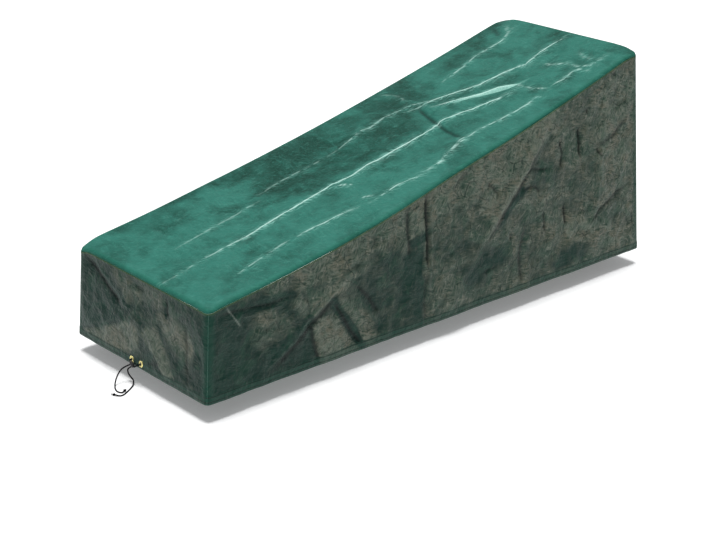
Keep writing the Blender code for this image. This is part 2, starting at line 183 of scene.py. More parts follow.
for name, route in ROUTES.items():
    above_hem = [(x, y, HEM_Z + height) for x, y, height in route]
    lines[name], lengths[name] = smooth_line(above_hem, CORD_STEP)
    radii = np.full(len(lines[name]), CORD / 2)
    cords[name] = swept_tube(f"braided_{name}", lines[name], radii)
    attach(cords[name], "root")
    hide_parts(name)
    print(name, "is", round(lengths[name], 3), "m long")

# %% [markdown]
# Each free end is tied in an overhand knot, which keeps it from slipping through the lock. The knot is
# the same tube on a knotted line: two turns round a small ring, with a wave that lifts the cord over
# itself three times. A short tail with a frayed, slightly thicker tip comes out of it.

# %% Knots
KNOT_SIZE = 0.0029          # radius of the ring that the knot turns round


def overhand(name, cord):
    """An overhand knot with its tail, in line with the end of a cord."""
    line = lines[cord]
    end, ahead = Vector(line[-1]), Vector(line[-1] - line[-2]).normalized()
    turns = np.linspace(0.35, 4 * math.pi - 0.5, 44)
    ring = KNOT_SIZE + 0.0011 * np.cos(1.5 * turns)
    wave = 0.0016 * np.sin(1.5 * turns)
    body = np.stack([wave, ring * np.cos(turns), ring * np.sin(turns)], axis=1)
    body[:, 0] += np.linspace(0.0036, 0.0062, len(turns))
    start = [(0.0002, 0.0, 0.0)]
    tail = [(0.0100, 0.0004, 0.0), (0.0128, 0.0006, -0.0003), (0.0168, 0.0008, -0.0006)]
    local, _ = smooth_line(start + body[::2].tolist() + tail, 0.0007)
    turn = ahead.to_track_quat("X", "Z").to_matrix()
    placed = np.array([end + turn @ Vector(p) for p in local])
    placed[:, 2] = np.maximum(placed[:, 2], FLOOR_Z + 0.0016)
    radii = np.full(len(placed), 0.0017)
    radii[:6] = np.linspace(CORD / 2, 0.0017, 6)
    radii[-4:] = (0.0018, 0.0020, 0.0019, 0.0012)
    made = swept_tube(f"overhand_{name}", placed, radii, sides=12)
    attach(made, "root")
    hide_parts(name)
    return made


knots = {name: overhand(name, cord) for name, cord in
         {"knot_left": "cord_left", "knot_right": "cord_right"}.items()}
print("knots:", [len(k.data.polygons) for k in knots.values()], "faces")

# %% [markdown]
# ## Cord lock and eyelets
#
# Both are turned parts, so each is an outline that is extruded from a point and spun round an axis.
# The lock has a ribbed barrel, a narrower neck and a round push button.

# %% Helpers for operator modelling
def deselect_all():
    bpy.ops.object.select_all(action="DESELECT")


def only(obj):
    """Makes one object the only selected and active one."""
    deselect_all()
    obj.select_set(True)
    bpy.context.view_layer.objects.active = obj


def spun(name, profile, frame_matrix, steps=64):
    """A profile of radius and height, joined up by extruding a point and spun about the Z axis."""
    deselect_all()
    bpy.ops.mesh.primitive_plane_add(size=0.001, location=(0, 0, 0))
    made = bpy.context.object
    made.name = name
    made.data.name = name
    bpy.ops.object.mode_set(mode="EDIT")
    bpy.ops.mesh.select_all(action="SELECT")
    bpy.ops.mesh.merge(type="CENTER")
    bpy.ops.transform.translate(value=(profile[0][0], 0, profile[0][1]))
    for before, after in zip(profile, profile[1:]):
        step = (after[0] - before[0], 0, after[1] - before[1])
        bpy.ops.mesh.extrude_vertices_move(TRANSFORM_OT_translate={"value": step})
    bpy.ops.mesh.select_all(action="SELECT")
    bpy.ops.mesh.spin(steps=steps, angle=2 * math.pi, center=(0, 0, 0), axis=(0, 0, 1))
    bpy.ops.mesh.select_all(action="SELECT")
    bpy.ops.mesh.remove_doubles(threshold=0.00001)
    bpy.ops.mesh.normals_make_consistent(inside=False)
    bpy.ops.object.mode_set(mode="OBJECT")
    only(made)
    bpy.ops.object.shade_smooth_by_angle(angle=math.radians(40))
    made.data.transform(frame_matrix)
    return made


def rounded_profile(points, radius, steps=4):
    """The same outline with its inner corners rounded off by short arcs."""
    made = [points[0]]
    for a, b, c in zip(points, points[1:], points[2:]):
        a, b, c = Vector(a), Vector(b), Vector(c)
        cut = min(radius, (a - b).length * 0.45, (c - b).length * 0.45)
        start, end = b + (a - b).normalized() * cut, b + (c - b).normalized() * cut
        for t in np.linspace(0, 1, steps):
            made.append(tuple(start * (1 - t) ** 2 + b * (2 * t * (1 - t)) + end * t**2))
    return made + [points[-1]]


# %% The cord lock
LOCK_AT = Vector((-0.0315, -1.0745, HEM_Z + 0.0085))
LOCK_AXIS = Vector((0.75, -0.05, -0.66))
lock_turn = (-LOCK_AXIS).to_track_quat("Z", "Y").to_matrix().to_4x4()
outline = [
    (0.0, 0.0132), (0.0036, 0.0132), (0.0045, 0.0124), (0.0045, 0.0086), (0.0052, 0.0080),
    (0.0061, 0.0066), (0.0061, 0.0050),
]
for rib in range(4):
    top = 0.0040 - rib * 0.0030
    outline += [(0.0056, top), (0.0056, top - 0.0008), (0.0062, top - 0.0013), (0.0062, top - 0.0021)]
outline += [(0.0060, -0.0100), (0.0050, -0.0124), (0.0034, -0.0131), (0.0, -0.0132)]
lock = spun("cord_lock_barrel", rounded_profile(outline, 0.0006), Matrix.Translation(LOCK_AT) @ lock_turn)
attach(lock, "root")
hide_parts("cord_lock")
print("lock:", len(lock.data.polygons), "faces")

# %% [markdown]
# An eyelet is one pressed ring: a rolled crest round the hole, a flat flange, and a barrel that goes
# through the cloth to a washer behind it. Its place is read from its plain model, whose flattest
# direction is the wall's normal there.

# %% The eyelets
def facing_of(node):
    """The middle of a thin round node, and the matrix whose Z axis is its outward axis."""
    points = np.array([v.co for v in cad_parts[node].data.vertices])
    middle = points.mean(axis=0)
    axis = np.linalg.svd(points - middle, full_matrices=False)[2][2]
    axis = Vector(axis if axis[1] < 0 else -axis)
    reach = (points @ np.array(axis)).max()
    centre = Vector(middle) + axis * (reach - Vector(middle).dot(axis))
    return centre, axis.to_track_quat("Z", "Y").to_matrix().to_4x4()


eyelets = []
for node in ("eyelet_left", "eyelet_right"):
    crest, turn = facing_of(node)
    section = [
        (0.0060, -0.0014), (0.0062, -0.0004), (0.0070, 0.0), (0.0085, -0.0002), (0.0094, -0.0008),
        (0.0100, -0.0011), (0.0112, -0.0012), (0.0119, -0.0014), (0.0120, -0.0017),
        (0.0073, -0.0017), (0.0073, -0.0036), (0.0110, -0.0037), (0.0111, -0.0042),
        (0.0068, -0.0043), (0.0060, -0.0036), (0.0060, -0.0014),
    ]
    ring = spun(f"brass_{node}", section, Matrix.Translation(crest) @ turn, steps=56)
    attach(ring, "root")
    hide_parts(node)
    eyelets.append(ring)
print("eyelets:", [len(e.data.polygons) for e in eyelets], "faces")

# %% [markdown]
# ## The cover's surface
#
# Five panels share one box-like surface. Its plan has a corner for each corner of the cover, at the
# top edge and at the hem, and its long top edges rise from the foot to the head. These sizes are the
# plain model's own. Here they are worked out for whole grids of points at a time.

# %% Sizes of the box
WIDTH, LENGTH = 0.74, 2.10      # what the grid lines are spaced over
ROLL = 0.012                    # radius at which the top turns down at its edges
TOP_CORNER, HEM_CORNER = 0.024, 0.016
CORNER_SAG, CORNER_SAG_REACH = 0.015, 0.045
SQUARE_CORNER_SAG = 0.003       # the foot corner on the right stays square
TOP_SAG = 0.008
SEAM_CALM = 0.045               # creases fade out over this distance from a seam
CLOTH = 0.0012                  # thickness of the finished sheet

Corner = namedtuple("Corner", "top_x top_y hem_x hem_y")
CORNERS = {
    "foot_left": Corner(-0.377, -1.044, -0.385, -1.064),
    "foot_right": Corner(0.374, -1.039, 0.380, -1.062),
    "head_left": Corner(-0.361, 1.050, -0.388, 1.066),
    "head_right": Corner(0.356, 1.040, 0.394, 1.072),
}
Rise = namedtuple("Rise", "along left right")
TOP_EDGES = [
    Rise(-1.04, 0.339, 0.329),
    Rise(-0.76, 0.384, 0.368),
    Rise(-0.50, 0.434, 0.412),
    Rise(-0.24, 0.486, 0.467),
    Rise(0.06, 0.552, 0.547),
    Rise(0.37, 0.628, 0.624),
    Rise(0.69, 0.711, 0.713),
    Rise(1.04, 0.808, 0.819),
]


# %% Functions of the surface
def smooth_step(value):
    value = np.clip(value, 0, 1)
    return value * value * (3 - 2 * value)


def edge_height(y, column):
    """Height of a long top edge above the hem, on a smooth curve through the rows."""
    at = np.array([row.along for row in TOP_EDGES])
    high = np.array([getattr(row, column) for row in TOP_EDGES])
    slopes = np.gradient(high, at)
    i = np.clip(np.searchsorted(at, y) - 1, 0, len(at) - 2)
    span = at[i + 1] - at[i]
    t = np.clip((y - at[i]) / span, 0, 1)
    return (high[i] * (2 * t**3 - 3 * t**2 + 1) + slopes[i] * span * (t**3 - 2 * t**2 + t)
            + high[i + 1] * (3 * t**2 - 2 * t**3) + slopes[i + 1] * span * (t**3 - t**2))


def round_corners(u, v, radius):
    """Moves grid points near a corner onto arcs, and gives their distance in from the outline."""
    from_u, from_v = np.minimum(u, WIDTH - u), np.minimum(v, LENGTH - v)
    arm_u, arm_v = radius - from_u, radius - from_v
    near = (arm_u > 0) & (arm_v > 0)
    reach = np.maximum(arm_u, arm_v)
    scale = np.where(near, reach / np.maximum(np.hypot(arm_u, arm_v), 1e-9), 1)
    inset = np.where(near, radius - reach, np.minimum(from_u, from_v))
    from_u = np.where(near, radius - arm_u * scale, from_u)
    from_v = np.where(near, radius - arm_v * scale, from_v)
    return (np.where(u < WIDTH / 2, from_u, WIDTH - from_u),
            np.where(v < LENGTH / 2, from_v, LENGTH - from_v), inset)


def in_plan(u, v, level):
    """The x and y of places on the plan, at a level from 0, the top edge, to 1, the hem."""
    across, along = u / WIDTH, v / LENGTH
    weights = {
        "foot_left": (1 - across) * (1 - along),
        "foot_right": across * (1 - along),
        "head_left": (1 - across) * along,
        "head_right": across * along,
    }
    x = y = 0.0
    for name, weight in weights.items():
        corner = CORNERS[name]
        x = x + weight * (corner.top_x + (corner.hem_x - corner.top_x) * level)
        y = y + weight * (corner.top_y + (corner.hem_y - corner.top_y) * level)
    return x, y


def top_surface(u, v):
    """Places on the plain top, its distance in from the outline with them."""
    u, v, inset = round_corners(u, v, TOP_CORNER)
    x, y = in_plan(u, v, 0)
    across = u / WIDTH
    left, right = edge_height(y, "left"), edge_height(y, "right")
    height = left + (right - left) * across
    height -= TOP_SAG * np.sin(np.pi * across) * np.sin(np.pi * v / LENGTH)
    to_corner = np.hypot(np.minimum(u, WIDTH - u), np.minimum(v, LENGTH - v))
    sag = np.where((u > WIDTH / 2) & (v < LENGTH / 2), SQUARE_CORNER_SAG, CORNER_SAG)
    height -= sag * np.exp(-((to_corner / CORNER_SAG_REACH) ** 2))
    turned = ROLL - np.sqrt(np.maximum(ROLL**2 - (ROLL - inset) ** 2, 0.0))
    height -= np.where(inset < ROLL, turned, 0.0)
    return np.stack([x, y, height + HEM_Z], axis=-1), inset


Wall = namedtuple("Wall", "axis sign edge")
WALLS = {
    "foot_panel": Wall(0, 1, lambda d: (d, 0.0 * d)),
    "side_right": Wall(1, 1, lambda d: (WIDTH + 0.0 * d, d)),
    "head_panel": Wall(0, -1, lambda d: (WIDTH - d, LENGTH + 0.0 * d)),
    "side_left": Wall(1, -1, lambda d: (0.0 * d, LENGTH - d)),
}


def wall_surface(name, distance, level):
    """Places on a plain wall, and the seam's height above the hem over each of them."""
    radius = TOP_CORNER + (HEM_CORNER - TOP_CORNER) * level
    edge = WALLS[name].edge(distance)
    u, v, _ = round_corners(*edge, radius)
    x, y = in_plan(u, v, level)
    seam = top_surface(*edge)[0][..., 2] - HEM_Z
    return np.stack([x, y, seam * (1 - level) + HEM_Z], axis=-1), seam


# %% [markdown]
# ## Creases
#
# The sheet came out of a packet folded in a grid, so long straight folds run the length of the top and short
# crumpled ones cross them. A crease is an open line of places with a sharp crest that falls away on both
# sides: its lift is above 0 for a ridge and below 0 for a trough. Its wear and glint is how white the crest
# is painted: partly coating that has gone white, and partly a painted glint of light on the sharp crest.
# Troughs get painted shade.

# %% Named creases of the top
Crease = namedtuple("Crease", "lift reach worn line")
TOP_CREASES = {
    "middle fold": Crease(0.0045, 0.020, 1.0, [
        (0.105, -1.035), (0.080, -0.830), (0.065, -0.630), (0.051, -0.490), (0.048, -0.400),
        (0.038, -0.236), (0.052, -0.147), (0.044, -0.069), (0.054, -0.024), (0.058, 0.120),
        (0.059, 0.238), (0.042, 0.296), (0.055, 0.327), (0.095, 0.452), (0.119, 0.538),
        (0.122, 0.615), (0.110, 0.654)]),
    "bright flap": Crease(0.0050, 0.016, 1.0, [
        (-0.079, 0.360), (0.029, 0.517), (0.055, 0.592), (0.113, 0.646)]),
    "head fold": Crease(0.0045, 0.018, 0.9, [
        (-0.135, 0.280), (-0.108, 0.400), (-0.024, 0.569), (-0.004, 0.683), (0.016, 0.740),
        (0.031, 0.760), (0.013, 0.860), (0.013, 0.950), (0.012, 1.023)]),
    "far fold": Crease(0.0042, 0.020, 0.6, [
        (-0.157, -0.066), (-0.165, 0.039), (-0.175, 0.089), (-0.157, 0.123), (-0.172, 0.207),
        (-0.163, 0.285), (-0.157, 0.338), (-0.094, 0.425)]),
    "far fold, head": Crease(0.0040, 0.022, 0.6, [
        (-0.183, 0.510), (-0.186, 0.596), (-0.200, 0.679), (-0.215, 0.740), (-0.206, 0.824),
        (-0.199, 0.865), (-0.246, 0.986)]),
    "near fold, back": Crease(0.0038, 0.018, 0.6, [
        (0.254, 0.102), (0.235, 0.211), (0.228, 0.319), (0.242, 0.431), (0.254, 0.546),
        (0.245, 0.595), (0.265, 0.613)]),
    "near fold, head": Crease(0.0035, 0.016, 0.7, [
        (0.236, 0.695), (0.249, 0.738), (0.243, 0.791), (0.251, 0.817), (0.294, 0.829)]),
    "near fold, tip": Crease(0.0030, 0.014, 0.7, [(0.269, 0.844), (0.278, 0.881), (0.272, 0.960)]),
    "near fold, seat": Crease(0.0038, 0.018, 0.7, [
        (0.258, -0.238), (0.248, -0.111), (0.267, -0.023), (0.262, 0.089), (0.216, 0.243),
        (0.239, 0.273)]),
    "near fold, knees": Crease(0.0038, 0.018, 0.7, [
        (0.219, -0.551), (0.221, -0.441), (0.227, -0.366), (0.242, -0.285)]),
    "near fold, foot": Crease(0.0035, 0.020, 0.5, [
        (0.253, -0.825), (0.232, -0.707), (0.213, -0.570)]),
    "seat branch": Crease(0.0030, 0.014, 0.7, [(0.054, -0.232), (0.078, -0.205), (0.103, -0.191)]),
    "short branch": Crease(0.0025, 0.012, 0.6, [(0.205, -0.235), (0.228, -0.205)]),
    "thin foot fold": Crease(0.0022, 0.016, 0.35, [
        (-0.063, -0.854), (-0.082, -0.668), (-0.108, -0.452)]),
    "far seat fold": Crease(0.0030, 0.018, 0.35, [
        (-0.150, -0.420), (-0.163, -0.300), (-0.160, -0.180), (-0.157, -0.066)]),
    "cross trough": Crease(-0.0075, 0.016, 0.0, [
        (-0.133, 0.338), (-0.075, 0.320), (-0.003, 0.296), (0.066, 0.273), (0.149, 0.258),
        (0.218, 0.248)]),
    "cross ridge": Crease(0.0035, 0.014, 0.0, [
        (-0.120, 0.372), (-0.060, 0.352), (0.010, 0.330), (0.090, 0.300)]),
    "far head corner": Crease(-0.0065, 0.018, 0.0, [(-0.323, 0.942), (-0.246, 0.897)]),
    "corner ridge": Crease(0.0040, 0.014, 0.35, [(-0.300, 0.985), (-0.225, 0.930), (-0.190, 0.870)]),
    "head cross": Crease(0.0028, 0.012, 0.5, [
        (0.060, 0.800), (0.120, 0.812), (0.170, 0.845), (0.235, 0.842), (0.300, 0.870)]),
    "head star": Crease(0.0025, 0.010, 0.35, [(0.150, 0.930), (0.205, 0.905), (0.262, 0.915)]),
    "middle tail": Crease(0.0028, 0.012, 0.5, [(0.120, 0.640), (0.170, 0.640), (0.230, 0.668)]),
    "far cross": Crease(0.0026, 0.014, 0.3, [(-0.330, 0.335), (-0.262, 0.360), (-0.190, 0.345)]),
    "seat cross": Crease(0.0024, 0.014, 0.0, [
        (-0.120, -0.235), (-0.040, -0.250), (0.040, -0.232), (0.150, -0.262)]),
}
print(len(TOP_CREASES), "creases on the top")

# %% [markdown]
# The walls hang more loosely. A long diagonal pleat runs from the hem up to the seat on each side of
# the foot half, pleats fan out under it, and a slit-like fold hangs down the middle of each side.
# Places on a wall are the distance along it, as y or x, and the height above the hem.

# %% Named creases of the walls
WALL_CREASES = {
    "side_right": {
        "long pleat": Crease(0.0075, 0.024, 0.20, [
            (-0.839, 0.029), (-0.725, 0.104), (-0.627, 0.177), (-0.528, 0.237), (-0.427, 0.304)]),
        "under the pleat": Crease(-0.0060, 0.022, 0.0, [
            (-0.790, 0.040), (-0.690, 0.108), (-0.590, 0.176), (-0.500, 0.230)]),
        "first fan": Crease(-0.0060, 0.014, 0.0, [(-0.623, 0.176), (-0.605, 0.090), (-0.585, 0.005)]),
        "first fan ridge": Crease(0.0045, 0.016, 0.1, [(-0.600, 0.170), (-0.560, 0.010)]),
        "second fan": Crease(-0.0070, 0.014, 0.0, [(-0.515, 0.218), (-0.455, 0.110), (-0.390, 0.010)]),
        "second fan ridge": Crease(0.0055, 0.016, 0.1, [(-0.480, 0.235), (-0.345, 0.020)]),
        "third fan": Crease(-0.0060, 0.014, 0.0, [(-0.420, 0.254), (-0.360, 0.190), (-0.309, 0.111)]),
        "foot edge wrinkle": Crease(-0.0045, 0.012, 0.0, [
            (-1.010, 0.300), (-0.900, 0.296), (-0.800, 0.283), (-0.680, 0.284)]),
        "foot edge ridge": Crease(0.0035, 0.012, 0.1, [(-0.980, 0.272), (-0.850, 0.262), (-0.720, 0.262)]),
        "bright scratch": Crease(0.0030, 0.008, 0.6, [(-0.965, 0.320), (-0.910, 0.235)]),
        "middle slit": Crease(-0.0110, 0.009, 0.0, [
            (-0.078, 0.505), (-0.074, 0.416), (-0.069, 0.299), (-0.082, 0.211)]),
        "middle slit lip": Crease(0.0060, 0.010, 0.2, [
            (-0.060, 0.505), (-0.056, 0.416), (-0.050, 0.299), (-0.066, 0.205), (-0.078, 0.099)]),
        "below the slit": Crease(-0.0035, 0.010, 0.0, [(-0.082, 0.211), (-0.092, 0.099), (-0.095, 0.011)]),
        "second slit": Crease(-0.0060, 0.010, 0.0, [(-0.166, 0.471), (-0.164, 0.345), (-0.158, 0.277)]),
        "back pleat": Crease(0.0080, 0.026, 0.20, [
            (0.565, 0.660), (0.435, 0.490), (0.335, 0.390), (0.240, 0.295), (0.160, 0.205)]),
        "under the back pleat": Crease(-0.0055, 0.018, 0.0, [
            (0.520, 0.580), (0.400, 0.420), (0.300, 0.325), (0.210, 0.238)]),
        "back slit": Crease(-0.0100, 0.008, 0.0, [(0.715, 0.575), (0.720, 0.510), (0.715, 0.450)]),
        "short back slit": Crease(-0.0070, 0.008, 0.0, [(0.600, 0.555), (0.620, 0.490), (0.610, 0.430)]),
        "low slit": Crease(-0.0090, 0.008, 0.0, [(0.640, 0.285), (0.645, 0.200)]),
        "second low slit": Crease(-0.0060, 0.008, 0.0, [(0.520, 0.285), (0.528, 0.200)]),
        "small fold": Crease(-0.0050, 0.010, 0.0, [(0.230, 0.465), (0.280, 0.410)]),
        "head pleat": Crease(0.0060, 0.024, 0.1, [(0.860, 0.600), (0.830, 0.400), (0.780, 0.100)]),
        "head diagonal": Crease(-0.0060, 0.010, 0.0, [(0.785, 0.18), (0.83, 0.22), (0.90, 0.255),
                                                      (0.99, 0.285)]),
        "head tick": Crease(-0.0060, 0.007, 0.0, [(0.81, 0.475), (0.82, 0.45), (0.84, 0.435)]),
        "high tick": Crease(-0.0050, 0.007, 0.0, [(0.895, 0.755), (0.91, 0.735)]),
        "edge tick": Crease(-0.0050, 0.007, 0.0, [(0.75, 0.64), (0.755, 0.615)]),
        "crumple above": Crease(-0.0045, 0.007, 0.0, [(0.41, 0.45), (0.455, 0.47), (0.50, 0.455),
                                                      (0.545, 0.45)]),
        "crumple below": Crease(-0.0045, 0.007, 0.0, [(0.40, 0.40), (0.475, 0.395), (0.50, 0.365)]),
        "back tick": Crease(-0.0045, 0.007, 0.0, [(0.055, 0.48), (0.08, 0.505), (0.115, 0.53)]),
        "low tick": Crease(-0.0045, 0.007, 0.0, [(0.335, 0.25), (0.345, 0.22)]),
        "hem tick": Crease(-0.0045, 0.007, 0.0, [(0.205, 0.12), (0.235, 0.13), (0.27, 0.13)]),
        "corner tick": Crease(-0.0050, 0.007, 0.0, [(1.02, 0.17), (1.035, 0.12)]),
        "head edge fold": Crease(-0.0050, 0.016, 0.0, [(0.980, 0.560), (0.900, 0.500), (0.800, 0.480)]),
        "low pleat": Crease(0.0055, 0.022, 0.1, [(0.120, 0.180), (0.070, 0.100), (0.020, 0.015)]),
        "low head pleat": Crease(-0.0055, 0.016, 0.0, [(0.420, 0.250), (0.390, 0.150), (0.400, 0.030)]),
    },
    "side_left": {
        "long pleat": Crease(0.0075, 0.026, 0.3, [(-0.900, 0.270), (-0.760, 0.150), (-0.620, 0.020)]),
        "knee fold": Crease(-0.0065, 0.016, 0.0, [(-0.480, 0.360), (-0.510, 0.200), (-0.520, 0.020)]),
        "seat pleat": Crease(0.0065, 0.022, 0.2, [(-0.200, 0.440), (-0.280, 0.220), (-0.330, 0.040)]),
        "middle slit": Crease(-0.0095, 0.009, 0.0, [(-0.080, 0.500), (-0.074, 0.300), (-0.085, 0.120)]),
        "back pleat": Crease(0.0075, 0.026, 0.4, [(0.120, 0.500), (0.220, 0.270), (0.300, 0.040)]),
        "back fold": Crease(-0.0065, 0.016, 0.0, [(0.500, 0.620), (0.470, 0.330), (0.460, 0.060)]),
        "head pleat": Crease(0.0070, 0.024, 0.3, [(0.620, 0.300), (0.740, 0.500), (0.840, 0.660)]),
        "head fold": Crease(-0.0060, 0.016, 0.0, [(0.800, 0.360), (0.795, 0.180), (0.780, 0.010)]),
        "small fold": Crease(-0.0050, 0.010, 0.0, [(0.330, 0.420), (0.280, 0.340)]),
        "foot fan": Crease(0.0045, 0.016, 0.1, [(-0.740, 0.200), (-0.800, 0.020)]),
    },
    "foot_panel": {
        "corner band": Crease(-0.0065, 0.016, 0.0, [
            (-0.335, 0.310), (-0.260, 0.272), (-0.200, 0.242), (-0.090, 0.182)]),
        "corner band edge": Crease(0.0045, 0.014, 0.05, [(-0.290, 0.312), (-0.180, 0.262), (-0.060, 0.190)]),
        "low pleat": Crease(0.0055, 0.018, 0.1, [
            (-0.360, 0.034), (-0.290, 0.075), (-0.219, 0.099), (-0.140, 0.138), (-0.065, 0.161)]),
        "falling pleat": Crease(0.0050, 0.018, 0.1, [(-0.060, 0.180), (0.030, 0.150), (0.160, 0.020)]),
        "dark notch": Crease(-0.0060, 0.012, 0.0, [(0.148, 0.309), (0.150, 0.232)]),
        "near fold": Crease(-0.0040, 0.014, 0.0, [(0.250, 0.260), (0.262, 0.140), (0.270, 0.020)]),
        "hem pull": Crease(-0.0035, 0.012, 0.0, [(0.120, 0.060), (0.050, 0.032)]),
    },
    "head_panel": {
        "left pleat": Crease(0.0070, 0.026, 0.3, [(-0.200, 0.740), (-0.180, 0.400), (-0.160, 0.060)]),
        "middle fold": Crease(-0.0065, 0.014, 0.0, [(0.020, 0.760), (0.025, 0.520), (0.040, 0.300)]),
        "right pleat": Crease(0.0070, 0.026, 0.3, [(0.220, 0.700), (0.180, 0.350), (0.120, 0.020)]),
        "cross fold": Crease(-0.0055, 0.016, 0.0, [(-0.300, 0.500), (-0.170, 0.400), (-0.040, 0.280)]),
        "low cross fold": Crease(0.0050, 0.016, 0.2, [(-0.320, 0.180), (-0.100, 0.240), (0.080, 0.200)]),
    },
}
print(sum(len(c) for c in WALL_CREASES.values()), "creases on the walls")
